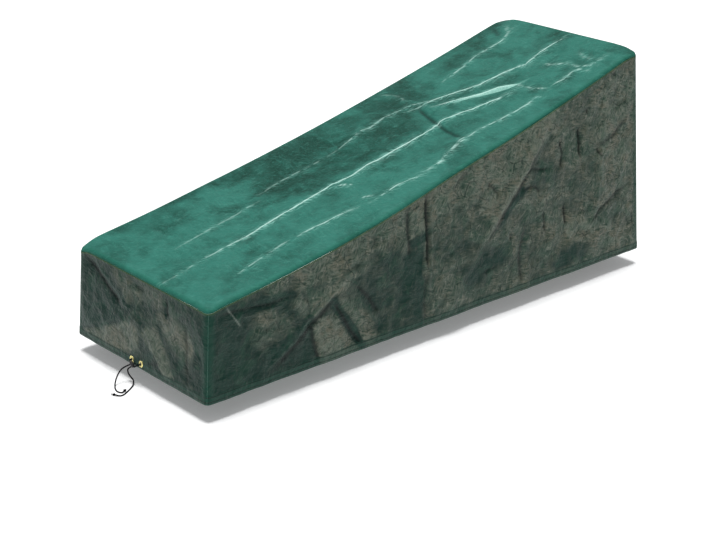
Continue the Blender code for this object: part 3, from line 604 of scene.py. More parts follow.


# %% [markdown]
# Between creases the sheet falls into flat facets with fairly straight sides, and each facet has its own
# painted tone: the light or shade that falls on it, and in places its rubbing. An amount above 0 paints a
# facet pale, partly as light it catches and partly as rubbing, and one below 0 paints it dark, partly as
# shade and partly as smooth green cloth. "Soft" is how wide its border is, before a wall's softening. A
# facet is painted over the ones before it.

# %% Named facets
Facet = namedtuple("Facet", "amount soft corners")
FACETS = {
    "top_panel": {
        "far sag": Facet(-0.78, 0.12, [
            (-0.36, -0.42), (-0.36, 0.46), (-0.20, 0.46), (-0.14, 0.31), (0.03, 0.27), (0.03, -0.18),
            (-0.04, -0.34), (-0.17, -0.42)]),
        "far edge": Facet(-0.60, 0.05, [(-0.38, -0.90), (-0.33, -0.90), (-0.31, 1.05), (-0.38, 1.05)]),
        "foot hollow": Facet(-0.50, 0.05, [(-0.36, -0.80), (-0.20, -0.72), (-0.19, -0.64), (-0.36, -0.66)]),
        "head hollow": Facet(-0.35, 0.07, [(-0.34, 0.50), (-0.20, 0.56), (-0.22, 0.84), (-0.34, 0.92)]),
        "beside the flap": Facet(-0.30, 0.03, [(-0.12, 0.36), (-0.02, 0.40), (0.09, 0.66), (0.00, 0.68)]),
        "near seat": Facet(0.25, 0.08, [(0.12, -0.55), (0.34, -0.50), (0.34, 0.10), (0.14, 0.05)]),
        "flap": Facet(1.00, 0.010, [
            (-0.05, 0.385), (0.00, 0.475), (0.065, 0.620), (0.115, 0.655), (0.098, 0.600),
            (0.045, 0.520), (0.00, 0.452)]),
        "flap tip": Facet(0.60, 0.012, [(0.09, 0.63), (0.12, 0.66), (0.13, 0.72), (0.11, 0.70)]),
    },
    "side_right": {
        "foot end": Facet(-0.80, 0.05, [
            (-1.06, 0.30), (-0.92, 0.27), (-0.88, 0.12), (-0.80, 0.06), (-0.72, 0.00), (-1.06, 0.00)]),
        "foot olive": Facet(0.35, 0.03, [
            (-0.89, 0.25), (-0.80, 0.265), (-0.70, 0.22), (-0.71, 0.17), (-0.80, 0.13), (-0.87, 0.19)]),
        "foot edge shadow": Facet(-1.00, 0.014, [
            (-1.03, 0.315), (-0.80, 0.31), (-0.67, 0.295), (-0.68, 0.28), (-0.76, 0.27), (-1.03, 0.285)]),
        "under the edge": Facet(0.45, 0.02, [(-0.80, 0.36), (-0.67, 0.375), (-0.67, 0.31), (-0.80, 0.325)]),
        "pale run": Facet(0.75, 0.014, [
            (-0.68, 0.26), (-0.59, 0.27), (-0.50, 0.28), (-0.43, 0.29), (-0.46, 0.25), (-0.53, 0.22),
            (-0.60, 0.19), (-0.66, 0.20)]),
        "pleat shadow": Facet(-0.90, 0.012, [
            (-0.79, 0.12), (-0.62, 0.185), (-0.615, 0.155), (-0.70, 0.10), (-0.80, 0.06), (-0.88, 0.02)]),
        "under the pleat": Facet(-0.55, 0.012, [
            (-0.615, 0.155), (-0.61, 0.11), (-0.59, 0.00), (-0.76, 0.00), (-0.74, 0.07)]),
        "first fan": Facet(0.80, 0.008, [
            (-0.612, 0.150), (-0.58, 0.17), (-0.51, 0.165), (-0.49, 0.13), (-0.40, 0.00), (-0.588, 0.00)]),
        "second fan shadow": Facet(-0.95, 0.010, [
            (-0.525, 0.230), (-0.50, 0.225), (-0.45, 0.140), (-0.40, 0.083), (-0.375, 0.00),
            (-0.40, 0.00), (-0.45, 0.070), (-0.49, 0.130), (-0.525, 0.200)]),
        "second fan": Facet(0.45, 0.012, [
            (-0.495, 0.225), (-0.45, 0.205), (-0.34, 0.080), (-0.30, 0.00), (-0.37, 0.00),
            (-0.40, 0.083), (-0.45, 0.145)]),
        "smooth quarter": Facet(-0.50, 0.012, [
            (-0.435, 0.27), (-0.39, 0.28), (-0.295, 0.31), (-0.20, 0.32), (-0.20, 0.00), (-0.295, 0.00),
            (-0.34, 0.085), (-0.395, 0.19)]),
        "green strip": Facet(-0.75, 0.014, [(-0.20, 0.29), (-0.095, 0.31), (-0.095, 0.00), (-0.20, 0.00)]),
        "seat edge": Facet(0.55, 0.018, [
            (-0.67, 0.38), (-0.60, 0.39), (-0.30, 0.45), (-0.175, 0.475), (-0.175, 0.37), (-0.29, 0.345),
            (-0.39, 0.33), (-0.47, 0.32), (-0.50, 0.29), (-0.59, 0.29), (-0.67, 0.30)]),
        "beside the slit": Facet(0.40, 0.010, [(-0.160, 0.48), (-0.085, 0.50), (-0.09, 0.35),
                                               (-0.155, 0.33)]),
        "slit shadow": Facet(-1.00, 0.010, [
            (-0.165, 0.335), (-0.12, 0.350), (-0.07, 0.355), (-0.07, 0.320), (-0.14, 0.310)]),
        "back": Facet(0.40, 0.025, [
            (-0.055, 0.51), (0.10, 0.55), (0.40, 0.63), (0.50, 0.65), (0.42, 0.53), (0.30, 0.42),
            (0.15, 0.43), (-0.05, 0.40)]),
        "back triangle": Facet(0.80, 0.012, [(0.21, 0.45), (0.31, 0.42), (0.24, 0.32), (0.19, 0.36)]),
        "low middle": Facet(-0.35, 0.05, [(-0.05, 0.33), (0.18, 0.30), (0.20, 0.20), (-0.05, 0.20)]),
        "back pleat": Facet(1.00, 0.010, [
            (0.50, 0.655), (0.59, 0.670), (0.53, 0.57), (0.455, 0.51), (0.40, 0.43), (0.315, 0.345),
            (0.26, 0.29), (0.20, 0.235), (0.195, 0.255), (0.24, 0.32), (0.295, 0.385), (0.345, 0.43),
            (0.40, 0.485), (0.45, 0.57)]),
        "back pleat shadow": Facet(-1.00, 0.008, [
            (0.40, 0.410), (0.445, 0.400), (0.365, 0.345), (0.315, 0.300), (0.28, 0.285), (0.32, 0.345)]),
        "wrinkled dark": Facet(-0.35, 0.03, [(0.44, 0.47), (0.52, 0.49), (0.62, 0.44), (0.58, 0.37),
                                             (0.45, 0.39)]),
        "low green": Facet(-0.70, 0.03, [(0.10, 0.17), (0.30, 0.20), (0.31, 0.14), (0.21, 0.09),
                                         (0.10, 0.09)]),
        "low triangle": Facet(0.65, 0.012, [(0.64, 0.26), (0.84, 0.14), (0.70, 0.10), (0.62, 0.17)]),
        "low head green": Facet(-0.75, 0.02, [(0.69, 0.13), (0.77, 0.09), (0.74, 0.04), (0.61, 0.03),
                                              (0.56, 0.06)]),
        "head": Facet(0.45, 0.05, [(0.80, 0.70), (1.00, 0.76), (1.02, 0.30), (0.84, 0.36)]),
        "head hem": Facet(0.30, 0.03, [(0.80, 0.17), (0.98, 0.10), (0.98, 0.02), (0.84, 0.03)]),
    },
    "side_left": {
        "foot end": Facet(-0.75, 0.04, [(-1.06, 0.30), (-0.90, 0.26), (-0.78, 0.00), (-1.06, 0.00)]),
        "knee": Facet(0.70, 0.012, [(-0.86, 0.30), (-0.66, 0.36), (-0.60, 0.20), (-0.70, 0.06)]),
        "seat": Facet(-0.60, 0.014, [(-0.50, 0.30), (-0.24, 0.36), (-0.30, 0.04), (-0.48, 0.05)]),
        "seat edge": Facet(0.75, 0.02, [(-0.50, 0.42), (-0.10, 0.49), (-0.12, 0.39), (-0.48, 0.34)]),
        "slit shadow": Facet(-0.90, 0.012, [(-0.10, 0.40), (-0.06, 0.42), (-0.05, 0.12), (-0.11, 0.10)]),
        "back pleat": Facet(0.90, 0.010, [(0.10, 0.51), (0.16, 0.52), (0.31, 0.05), (0.27, 0.04)]),
        "back": Facet(0.50, 0.03, [(0.22, 0.56), (0.46, 0.62), (0.44, 0.20), (0.31, 0.18)]),
        "head pleat": Facet(0.85, 0.012, [(0.60, 0.28), (0.80, 0.64), (0.88, 0.68), (0.68, 0.28)]),
        "head shadow": Facet(-0.80, 0.014, [(0.70, 0.28), (0.83, 0.54), (0.84, 0.30), (0.76, 0.16)]),
        "head": Facet(0.35, 0.05, [(0.88, 0.60), (1.02, 0.70), (1.02, 0.20), (0.88, 0.20)]),
    },
    "foot_panel": {
        "left": Facet(-0.65, 0.014, [(-0.37, 0.32), (-0.31, 0.31), (-0.18, 0.22), (-0.11, 0.16),
                                     (-0.37, 0.12)]),
        "low left": Facet(-0.85, 0.014, [
            (-0.37, 0.13), (-0.25, 0.13), (-0.10, 0.16), (-0.18, 0.10), (-0.37, 0.03)]),
        "top middle": Facet(0.40, 0.02, [
            (-0.15, 0.31), (0.00, 0.32), (0.12, 0.31), (0.15, 0.25), (0.02, 0.24), (-0.07, 0.21)]),
        "corner band": Facet(-1.00, 0.010, [
            (-0.31, 0.325), (-0.245, 0.300), (-0.175, 0.265), (-0.065, 0.205), (-0.02, 0.215),
            (-0.10, 0.168), (-0.135, 0.190), (-0.20, 0.250), (-0.25, 0.278)]),
        "triangle": Facet(0.85, 0.010, [
            (-0.36, 0.025), (-0.25, 0.065), (-0.07, 0.148), (-0.01, 0.140), (-0.01, 0.065),
            (-0.075, 0.030), (-0.27, 0.022)]),
        "feathered": Facet(0.90, 0.020, [
            (0.10, 0.22), (0.20, 0.25), (0.265, 0.23), (0.30, 0.185), (0.27, 0.12), (0.21, 0.13),
            (0.12, 0.17)]),
        "pale fall": Facet(0.90, 0.010, [
            (0.005, 0.140), (0.08, 0.180), (0.14, 0.120), (0.195, 0.030), (0.15, 0.015), (0.08, 0.075)]),
        "notch": Facet(-0.90, 0.008, [(0.138, 0.31), (0.158, 0.31), (0.155, 0.23), (0.142, 0.23)]),
        "beside the eyelets": Facet(-1.00, 0.010, [
            (0.035, 0.070), (0.08, 0.085), (0.095, 0.065), (0.04, 0.022), (0.02, 0.035)]),
        "near corner": Facet(-0.55, 0.03, [(0.31, 0.27), (0.38, 0.29), (0.38, 0.02), (0.31, 0.03)]),
    },
    "head_panel": {
        "left pleat": Facet(0.80, 0.012, [(-0.24, 0.75), (-0.18, 0.76), (-0.15, 0.05), (-0.18, 0.05)]),
        "left shadow": Facet(-0.80, 0.014, [(-0.32, 0.52), (-0.20, 0.42), (-0.19, 0.20), (-0.33, 0.24)]),
        "middle": Facet(0.55, 0.03, [(-0.08, 0.70), (0.20, 0.70), (0.15, 0.36), (-0.06, 0.30)]),
        "right pleat": Facet(0.85, 0.012, [(0.22, 0.72), (0.27, 0.70), (0.16, 0.03), (0.11, 0.03)]),
        "low middle": Facet(-0.65, 0.02, [(-0.10, 0.24), (0.08, 0.26), (0.09, 0.04), (-0.10, 0.05)]),
        "right": Facet(-0.45, 0.03, [(0.24, 0.50), (0.36, 0.52), (0.36, 0.10), (0.22, 0.12)]),
    },
}
print(sum(len(named) for named in FACETS.values()), "facets")

# %% [markdown]
# A place's distance to a line of straight stretches gives the crease its cross-section. Between the
# named creases the coating is crumpled into small flat facets. Cones that stand on scattered places,
# and of which the lowest counts, meet in sharp straight valleys: that is how crumpled sheet looks.

# %% Relief of creases and crumpling
FAR = 9.0               # in metres, past everything on the cover
CREST_ROUND = 0.0015    # a crest is rounded off over this
WEAR_AND_GLINT_WIDTH = 0.0026     # half width of the white line on a crest: worn coating and painted glint
GLINT_HALO_WIDTH = 0.016      # and of the painted glints on both sides of it
SHADE_CORE = 0.0025     # half width of the painted shade in the narrowest trough
DEEP_TROUGH = 0.008     # a trough this deep is fully dark


def crease_relief(creases, a, b):
    """Lift, the crest's white of wear and painted glint, the painted glints around it, and painted shade
    that the named creases give.
    """
    lift, worn, glint_halo, shade = (np.zeros_like(a) for _ in range(4))
    for crease in creases.values():
        nearest = np.full_like(a, FAR)
        done = np.zeros_like(a)
        count = len(crease.line) - 1
        for k, (start, end) in enumerate(zip(crease.line, crease.line[1:])):
            run_a, run_b = end[0] - start[0], end[1] - start[1]
            t = ((a - start[0]) * run_a + (b - start[1]) * run_b) / (run_a**2 + run_b**2)
            t = np.clip(t, 0, 1)
            gap = np.hypot(a - start[0] - run_a * t, b - start[1] - run_b * t)
            done = np.where(gap < nearest, (k + t) / count, done)
            nearest = np.minimum(nearest, gap)
        ends = smooth_step(done * 6) * smooth_step((1 - done) * 6)
        ends = 0.25 + 0.75 * ends
        lift += crease.lift * ends * np.exp(-(np.hypot(nearest, CREST_ROUND) - CREST_ROUND) / crease.reach)
        # white along the crest: partly worn coating, partly a painted glint
        worn = np.maximum(worn, crease.worn * ends * np.exp(-((nearest / WEAR_AND_GLINT_WIDTH) ** 2)))
        # painted glints beside the crest
        glint_halo = np.maximum(glint_halo, crease.worn * ends * np.exp(-((nearest / GLINT_HALO_WIDTH) ** 2)))
        # painted shade in the troughs
        if crease.lift < 0:
            depth = min(1.0, -crease.lift / DEEP_TROUGH) * ends
            width = SHADE_CORE + crease.reach * 0.45
            shade = np.maximum(shade, depth * np.exp(-((nearest / width) ** 2)))
    return lift, worn, glint_halo, shade


WALL_SOFTENING = 2.4    # the walls hang loose, so their facets run into each other


def facet_light_and_rub(name, a, b):
    """The painted light, shade and rubbing that a panel's named facets give at places on it."""
    softening = 1.0 if name == "top_panel" else WALL_SOFTENING
    light_and_rub_tone = np.zeros_like(a)
    for facet in FACETS[name].values():
        inside = np.zeros(a.shape, bool)
        nearest = np.full_like(a, FAR)
        for start, end in zip(facet.corners, facet.corners[1:] + facet.corners[:1]):
            run_a, run_b = end[0] - start[0], end[1] - start[1]
            t = np.clip(((a - start[0]) * run_a + (b - start[1]) * run_b) / (run_a**2 + run_b**2), 0, 1)
            nearest = np.minimum(nearest, np.hypot(a - start[0] - run_a * t, b - start[1] - run_b * t))
            if run_b:
                spans = (start[1] > b) != (end[1] > b)
                inside ^= spans & (a < start[0] + (b - start[1]) * run_a / run_b)
        share = smooth_step(0.5 + np.where(inside, nearest, -nearest) / (facet.soft * softening))
        light_and_rub_tone += (facet.amount - light_and_rub_tone) * share
    return light_and_rub_tone


def cones(a, b, size, seed):
    """The lowest of many cones that stand on scattered places, one in each square of a grid."""
    rng = np.random.default_rng(seed)
    table = rng.random((64, 64, 3))
    a, b = a / size, b / size
    cell_a, cell_b = np.floor(a).astype(int), np.floor(b).astype(int)
    lowest = np.full_like(a, FAR)
    for step_a in (-1, 0, 1):
        for step_b in (-1, 0, 1):
            i, j = cell_a + step_a, cell_b + step_b
            here = table[i % 64, j % 64]
            gap = np.hypot(a - i - here[..., 0], b - j - here[..., 1])
            lowest = np.minimum(lowest, gap * (0.7 + 0.6 * here[..., 2]))
    return lowest - 0.45


def waves(a, b, size, seed):
    """Soft rolling unevenness, from a few sine waves in scattered directions."""
    rng = np.random.default_rng(seed)
    total = np.zeros_like(a)
    for _ in range(7):
        turn, start = rng.random(2) * 2 * math.pi
        length = size * (0.7 + 0.8 * rng.random())
        total += np.sin((a * math.cos(turn) + b * math.sin(turn)) * 2 * math.pi / length + start)
    return total / 3.5


def crumple(a, b, size, seed):
    """Crumpled relief from about -0.5 to 0.5: ridges from one set of cones, valleys from another."""
    shift_a = a + 0.35 * size * waves(a, b, size * 2.1, seed + 1)
    shift_b = b + 0.35 * size * waves(a, b, size * 1.7, seed + 2)
    return cones(shift_a, shift_b, size, seed + 3) - cones(shift_b, shift_a, size * 1.15, seed + 4)


# %% [markdown]
# The sheet lies on its plain solid's folds. Rays shot at the solid measure how far each fold lifts it
# off the smooth surface, and a running mean takes the solid's flat facets out of that.

# %% Read the solid's folds
def running_mean(values, reach):
    """Each value's mean over its neighbours, in both directions of the grid."""
    for axis in (0, 1):
        padding = [(reach, reach) if k == axis else (0, 0) for k in (0, 1)]
        sums = np.cumsum(np.pad(values, padding, mode="edge"), axis=axis)
        size = values.shape[axis]
        wide = np.take(sums, np.arange(2 * reach, size + 2 * reach), axis=axis)
        narrow = np.take(sums, np.arange(0, size), axis=axis)
        values = (wide - narrow) / (2 * reach)
    return values


def outward(grid, towards):
    """Unit normals of a grid of places."""
    normal = np.cross(np.gradient(grid, axis=1), np.gradient(grid, axis=0))
    normal /= np.maximum(np.linalg.norm(normal, axis=-1), 1e-12)[..., None]
    return normal * np.sign((normal @ np.array(towards)).mean())


SOLID_CLOTH = 0.0015        # thickness of the plain solids' sheet
RAY_START = 0.04            # rays start this far outside


def folds_of_solid(node, grid, normal, reach):
    """How far the solid's outer face stands off the smooth surface at each place."""
    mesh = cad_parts[node].data
    tree = BVHTree.FromPolygons([v.co[:] for v in mesh.vertices], [p.vertices[:] for p in mesh.polygons])
    lift = np.zeros(grid.shape[:2])
    for j in range(grid.shape[0]):
        for i in range(grid.shape[1]):
            away = Vector(normal[j, i])
            _, _, _, far = tree.ray_cast(Vector(grid[j, i]) + away * RAY_START, -away, 2 * RAY_START)
            lift[j, i] = RAY_START - far - SOLID_CLOTH if far is not None else 0.0
    return running_mean(running_mean(np.clip(lift, -0.02, 0.02), reach), reach)


# %% [markdown]
# ## Panels
#
# Each panel is a grid with its places worked out by the functions above, which no modelling tool could do by
# hand at this fineness. It starts as a grid primitive, gets its places and its UV map in metres of cloth,
# and then a Solidify modifier gives it its thickness. Attributes carry what its finish needs: the wear and
# painted glints, the painted light and shade, the distance to the hem, to the top seam and to the upright
# seam at a corner.

# %% Build a sheet from its grid
def sheet_piece(name, grid, towards, uv, attributes):
    rows, columns = grid.shape[:2]
    deselect_all()
    bpy.ops.mesh.primitive_grid_add(x_subdivisions=columns - 1, y_subdivisions=rows - 1, size=2)
    made = bpy.context.object
    made.name = name
    mesh = made.data
    mesh.name = name
    flat = np.empty(len(mesh.vertices) * 3)
    mesh.vertices.foreach_get("co", flat)
    flat = flat.reshape(-1, 3)
    i = np.rint((flat[:, 0] + 1) / 2 * (columns - 1)).astype(int)
    j = np.rint((flat[:, 1] + 1) / 2 * (rows - 1)).astype(int)
    mesh.vertices.foreach_set("co", grid[j, i].ravel())
    corners = np.empty(len(mesh.loops), dtype=int)
    mesh.loops.foreach_get("vertex_index", corners)
    mesh.uv_layers[0].name = "cloth"
    mesh.uv_layers[0].uv.foreach_set("vector", uv[j, i][corners].ravel())
    for key, values in attributes.items():
        layer = mesh.attributes.new(key, "FLOAT", "POINT")
        layer.data.foreach_set("value", values[j, i].astype(np.float32))
    mesh.update()
    normals = np.empty(len(mesh.polygons) * 3)
    mesh.polygons.foreach_get("normal", normals)
    only(made)
    if (normals.reshape(-1, 3) @ np.array(towards)).sum() < 0:
        bpy.ops.object.mode_set(mode="EDIT")
        bpy.ops.mesh.select_all(action="SELECT")
        bpy.ops.mesh.flip_normals()
        bpy.ops.object.mode_set(mode="OBJECT")
    solid = made.modifiers.new("thickness", "SOLIDIFY")
    solid.thickness = CLOTH
    solid.offset = 1.0
    bpy.ops.object.modifier_apply(modifier="thickness")
    made.data.shade_smooth()
    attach(made, "root")
    print(name, len(made.data.polygons) * 2, "triangles")
    return made


def draw_in(grid, gap=0.0003):
    """Draws the borders in by half a gap, so that neighbouring panels never touch."""
    def nudged(here, inner):
        away = inner - here
        return here + away / np.linalg.norm(away, axis=-1)[..., None] * (gap / 2)

    grid[:, 0], grid[:, -1] = nudged(grid[:, 0], grid[:, 1]), nudged(grid[:, -1], grid[:, -2])
    grid[0], grid[-1] = nudged(grid[0], grid[1]), nudged(grid[-1], grid[-2])
    return grid


def cloth_lengths(grid, axis):
    """Distance along the cloth from the first row or column of a grid."""
    steps = np.linalg.norm(np.diff(grid, axis=axis), axis=-1)
    return np.concatenate([np.zeros_like(np.take(steps, [0], axis=axis)), np.cumsum(steps, axis=axis)], axis)


def spaced(start, end, spacing):
    """Places from start to end, whose spacing at each of them is given by a function."""
    places = [start]
    while places[-1] < end:
        places.append(places[-1] + spacing(places[-1]))
    places = np.array(places)
    return start + (places - start) * (end - start) / (places[-1] - start)


# %% [markdown]
# The top is gridded finely where its long folds run, so that their crests are sharp, and coarsely
# between them.

# %% The top
FINE, COARSE = 0.0027, 0.0115
FOLD_BANDS = [(-0.250, 0.125), (0.205, 0.275)]
corner_lines = np.linspace(0, TOP_CORNER, 8)


def across_spacing(u):
    x = u - WIDTH / 2
    return FINE if any(low < x < high for low, high in FOLD_BANDS) else COARSE


def along_spacing(v):
    return 0.0065 if 0.25 < v - LENGTH / 2 < 0.72 else 0.0112


inner = spaced(TOP_CORNER, WIDTH - TOP_CORNER, across_spacing)[1:-1]
across = np.concatenate([corner_lines, inner, WIDTH - corner_lines[::-1]])
inner = spaced(TOP_CORNER, LENGTH - TOP_CORNER, along_spacing)[1:-1]
along = np.concatenate([corner_lines, inner, LENGTH - corner_lines[::-1]])
u, v = np.meshgrid(across, along)
grid, inset = top_surface(u, v)
normal = outward(grid, (0, 0, 1))
folds = folds_of_solid("top_panel", grid, normal, 4)
x, y = grid[..., 0], grid[..., 1]
lift, worn, glint_halo, shade = crease_relief(TOP_CREASES, x, y)
large, small = crumple(x, y, 0.130, 21), crumple(x, y, 0.050, 31)
relief = 0.0040 * waves(x, y, 0.42, 11) + 0.0034 * large + 0.0014 * small
# painted light and shade of the top's facets, with some rubbing
light_and_rub_tone = facet_light_and_rub("top_panel", x, y)
# the crumple relief is added to the facets' tone as painted shading
crumple_light_and_rub = light_and_rub_tone + 0.45 * large + 0.45 * small
calm = smooth_step(inset / SEAM_CALM)
shape = grid + normal * (folds * 0.6 + (lift + relief) * calm)[..., None]
uv = np.stack([x, cloth_lengths(grid, 0) + grid[0, :, 1]], axis=-1)
top = sheet_piece("top_cloth", draw_in(shape), (0, 0, 1), uv,
                  {"worn": worn, "glint_halo": glint_halo, "shade": shade, "light_and_rub_tone": light_and_rub_tone, "crumple_light_and_rub": crumple_light_and_rub,
                   "from_edge": inset})
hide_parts("top_panel")

# %% [markdown]
# A wall has two more shapes. Its hem is the cloth turned up double, 30 mm deep, with the drawcord in
# it, so it stands a little proud and puckers. At the top seam the edges of both panels are folded
# together into a narrow ridge.

# %% The walls
HEM_BAND = 0.030
SEAM_BAND = 0.007
EYELET_HEIGHT = 0.018
EYELET_AT = (-0.046, 0.008)


def make_wall(name, towards, cell, seed, roughness):
    length = WIDTH if WALLS[name].axis == 0 else LENGTH
    inner = spaced(TOP_CORNER, length - TOP_CORNER, lambda d: cell)[1:-1]
    distances = np.concatenate([corner_lines, inner, length - corner_lines[::-1]])
    tallest = 0.36 if name == "foot_panel" else 0.84
    levels = np.linspace(0, 1, round(tallest / cell * (1.0 if WALLS[name].axis == 0 else 0.75)) + 1)
    d, level = np.meshgrid(distances, levels)
    grid, seam = wall_surface(name, d, level)
    normal = outward(grid, towards)
    folds = folds_of_solid(name, grid, normal, 4)
    height = seam * (1 - level)
    a = grid[..., WALLS[name].axis]
    from_seam, from_corner = seam - height, np.minimum(d, length - d)
    lift, worn, _, shade = crease_relief(WALL_CREASES[name], a, height)
    large, small = crumple(a, height, 0.090, seed + 10), crumple(a, height, 0.036, seed + 20)
    relief = 0.0035 * waves(a, height, 0.30, seed) + roughness * (0.0070 * large + 0.0036 * small)
    # painted light and shade: the facets' tone plus the crumple relief as painted shading
    light_and_rub_tone = facet_light_and_rub(name, a + 0.006 * waves(a, height, 0.11, 7), height) + 0.30 * large + 0.38 * small
    calm = smooth_step(from_corner / SEAM_CALM) * smooth_step(from_seam / SEAM_CALM)
    if name == "foot_panel":
        off = np.minimum(*[np.abs(a - at) for at in EYELET_AT])
        calm = calm * smooth_step(np.hypot(off, height - EYELET_HEIGHT) / 0.05 - 0.5)
    hem_calm = 0.35 + 0.65 * smooth_step(height / 0.06)
    shape = grid + normal * (folds * 0.7 + (lift + relief) * calm * hem_calm)[..., None]
    pucker = 0.0006 * np.sin(a * 2 * math.pi / 0.019 + 2 * np.sin(a * 31))
    hem = (0.0010 + pucker * (name != "foot_panel")) * smooth_step((HEM_BAND - height) / 0.004)
    ridge = 0.0012 * np.exp(-((from_seam - SEAM_BAND / 2) / (SEAM_BAND / 2.2)) ** 2)
    shape = shape + normal * (hem * (height > 0.001) + ridge)[..., None]
    uv = np.stack([a * WALLS[name].sign, height], axis=-1)
    made = sheet_piece(name.replace("panel", "cloth") if "panel" in name else f"{name}_cloth",
                       draw_in(shape), towards, uv,
                       {"worn": worn, "shade": shade, "light_and_rub_tone": light_and_rub_tone,
                        "from_hem": height, "from_seam": from_seam,
                        "from_corner": from_corner, "toward_head": grid[..., 1]})
    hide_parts(name)
    return made


side_right = make_wall("side_right", (1, 0, 0), 0.0056, 101, 1.0)
side_left = make_wall("side_left", (-1, 0, 0), 0.0072, 201, 1.0)
foot = make_wall("foot_panel", (0, -1, 0), 0.0045, 301, 0.7)
head = make_wall("head_panel", (0, 1, 0), 0.0072, 401, 1.0)

# %% [markdown]
# The eyelets' barrels go through the foot panel, so it needs two round holes. A Boolean with a
# cylinder as its cutter is the safe way to cut a sheet with thickness: the hole gets its own wall.

# %% Holes for the eyelets
HOLE_RADIUS = 0.0078

for node in ("eyelet_left", "eyelet_right"):
    crest, turn = facing_of(node)
    deselect_all()
    bpy.ops.mesh.primitive_cylinder_add(vertices=40, radius=HOLE_RADIUS, depth=0.03)
    cutter = bpy.context.object
    cutter.data.transform(Matrix.Translation(crest) @ turn)
    only(foot)
    cut = foot.modifiers.new("hole", "BOOLEAN")
    cut.object = cutter
    cut.operation = "DIFFERENCE"
    bpy.ops.object.modifier_apply(modifier="hole")
    bpy.data.objects.remove(cutter)
foot.data.shade_smooth()
print("foot panel:", len(foot.data.polygons), "faces with its holes")


# %% [markdown]
# ## Finishes
#
# A small helper keeps the node work short: it makes a node, sets it up, and links or sets its inputs.
# Effects that several materials use become node groups.

# %% Node helpers
def put(tree, kind, inputs=None, **settings):
    made = tree.nodes.new(kind)
    for key, value in settings.items():
        setattr(made, key, value)
    for key, value in (inputs or {}).items():
        if isinstance(value, bpy.types.NodeSocket):
            tree.links.new(value, made.inputs[key])
        else:
            made.inputs[key].default_value = value
    return made


def calc(tree, operation, *values, clamp=False):
    return put(tree, "ShaderNodeMath", dict(enumerate(values)), operation=operation,
               use_clamp=clamp).outputs[0]


def blend_colors(tree, share, first, second):
    return put(tree, "ShaderNodeMix", {0: share, 6: first, 7: second}, data_type="RGBA").outputs[2]


def between(tree, value, low, high, to_low=0.0, to_high=1.0):
    """A smooth change from one number to another as a value goes from low to high."""
    made = put(tree, "ShaderNodeMapRange", {0: value, 1: low, 2: high, 3: to_low, 4: to_high},
               interpolation_type="SMOOTHSTEP")
    return made.outputs[0]


def noise(tree, vector, scale, detail=2.0, roughness=0.5, distortion=0.0):
    made = put(tree, "ShaderNodeTexNoise", {"Vector": vector, "Scale": scale, "Detail": detail,
                                            "Roughness": roughness, "Distortion": distortion})
    return made.outputs[0]


def new_group(name, inputs, outputs):
    """An empty node group with named sockets, given as (name, kind, default value)."""
    tree = bpy.data.node_groups.new(name, "ShaderNodeTree")
    for socket, kind, value in inputs:
        made = tree.interface.new_socket(socket, in_out="INPUT", socket_type=kind)
        if value is not None:
            made.default_value = value
    for socket, kind in outputs:
        tree.interface.new_socket(socket, in_out="OUTPUT", socket_type=kind)
    return tree, tree.nodes.new("NodeGroupInput").outputs, tree.nodes.new("NodeGroupOutput").inputs


def times(tree, first, second):
    return calc(tree, "MULTIPLY", first, second)


def place_group(tree, group, inputs):
    return put(tree, "ShaderNodeGroup", inputs, node_tree=group).outputs


def read_attributes(tree, *names):
    """The piece's own attributes, by name."""
    return {name: put(tree, "ShaderNodeAttribute", attribute_name=name).outputs["Fac"] for name in names}


def paint(tree, color, coats):
    """Lays coats over a colour, in order. Each coat is a mask and a tint."""
    for mask, tint in coats:
        color = blend_colors(tree, mask, color, (*tint, 1))
    return color


def finish_material(name, rough, metallic=0.0, bump=0.001):
    """A material with its shader, and a bump whose height is still to be linked."""
    made = bpy.data.materials.new(name)
    made.use_nodes = True
    tree = made.node_tree
    shader = tree.nodes["Principled BSDF"]
    shader.inputs["Roughness"].default_value = rough
    shader.inputs["Metallic"].default_value = metallic
    lift = put(tree, "ShaderNodeBump", {"Strength": 1.0, "Distance": bump})
    tree.links.new(lift.outputs[0], shader.inputs["Normal"])
    return made, tree, shader, lift


# %% [markdown]
# Crumpled coating is a group of cell patterns on a slightly warped map. The distance to a cell's point
# makes facets, and the distance to a cell's edge makes the thin lines where facets meet.

# %% Group: crumpled coating
FLOAT, VECTOR = "NodeSocketFloat", "NodeSocketVector"

crumpled, given, result = new_group(
    "crumpled coating",
    [("Vector", VECTOR, None), ("Size", FLOAT, 0.03), ("Warp", FLOAT, 0.5)],
    [("Height", FLOAT), ("Line", FLOAT)])
scaled = put(crumpled, "ShaderNodeVectorMath", {0: given["Vector"], "Scale": calc(
    crumpled, "DIVIDE", 1.0, given["Size"])}, operation="SCALE").outputs[0]
swirl = put(crumpled, "ShaderNodeTexNoise", {"Vector": scaled, "Scale": 0.7, "Detail": 3.0}).outputs[1]
centred = put(crumpled, "ShaderNodeVectorMath", {0: swirl, 1: (0.5, 0.5, 0.5)}, operation="SUBTRACT")
push = calc(crumpled, "MULTIPLY", given["Warp"], 1.3)
push = put(crumpled, "ShaderNodeVectorMath", {0: centred.outputs[0], "Scale": push}, operation="SCALE")
warped = put(crumpled, "ShaderNodeVectorMath", {0: scaled, 1: push.outputs[0]}).outputs[0]
cell = put(crumpled, "ShaderNodeTexVoronoi", {"Vector": warped, "Scale": 1.0}, voronoi_dimensions="2D")
other = put(crumpled, "ShaderNodeTexVoronoi", {"Vector": warped, "Scale": 0.73}, voronoi_dimensions="2D",
            distance="MANHATTAN")
edge = put(crumpled, "ShaderNodeTexVoronoi", {"Vector": warped, "Scale": 0.85}, voronoi_dimensions="2D",
           feature="DISTANCE_TO_EDGE").outputs[0]
deep = calc(crumpled, "MULTIPLY", other.outputs[0], 0.7)
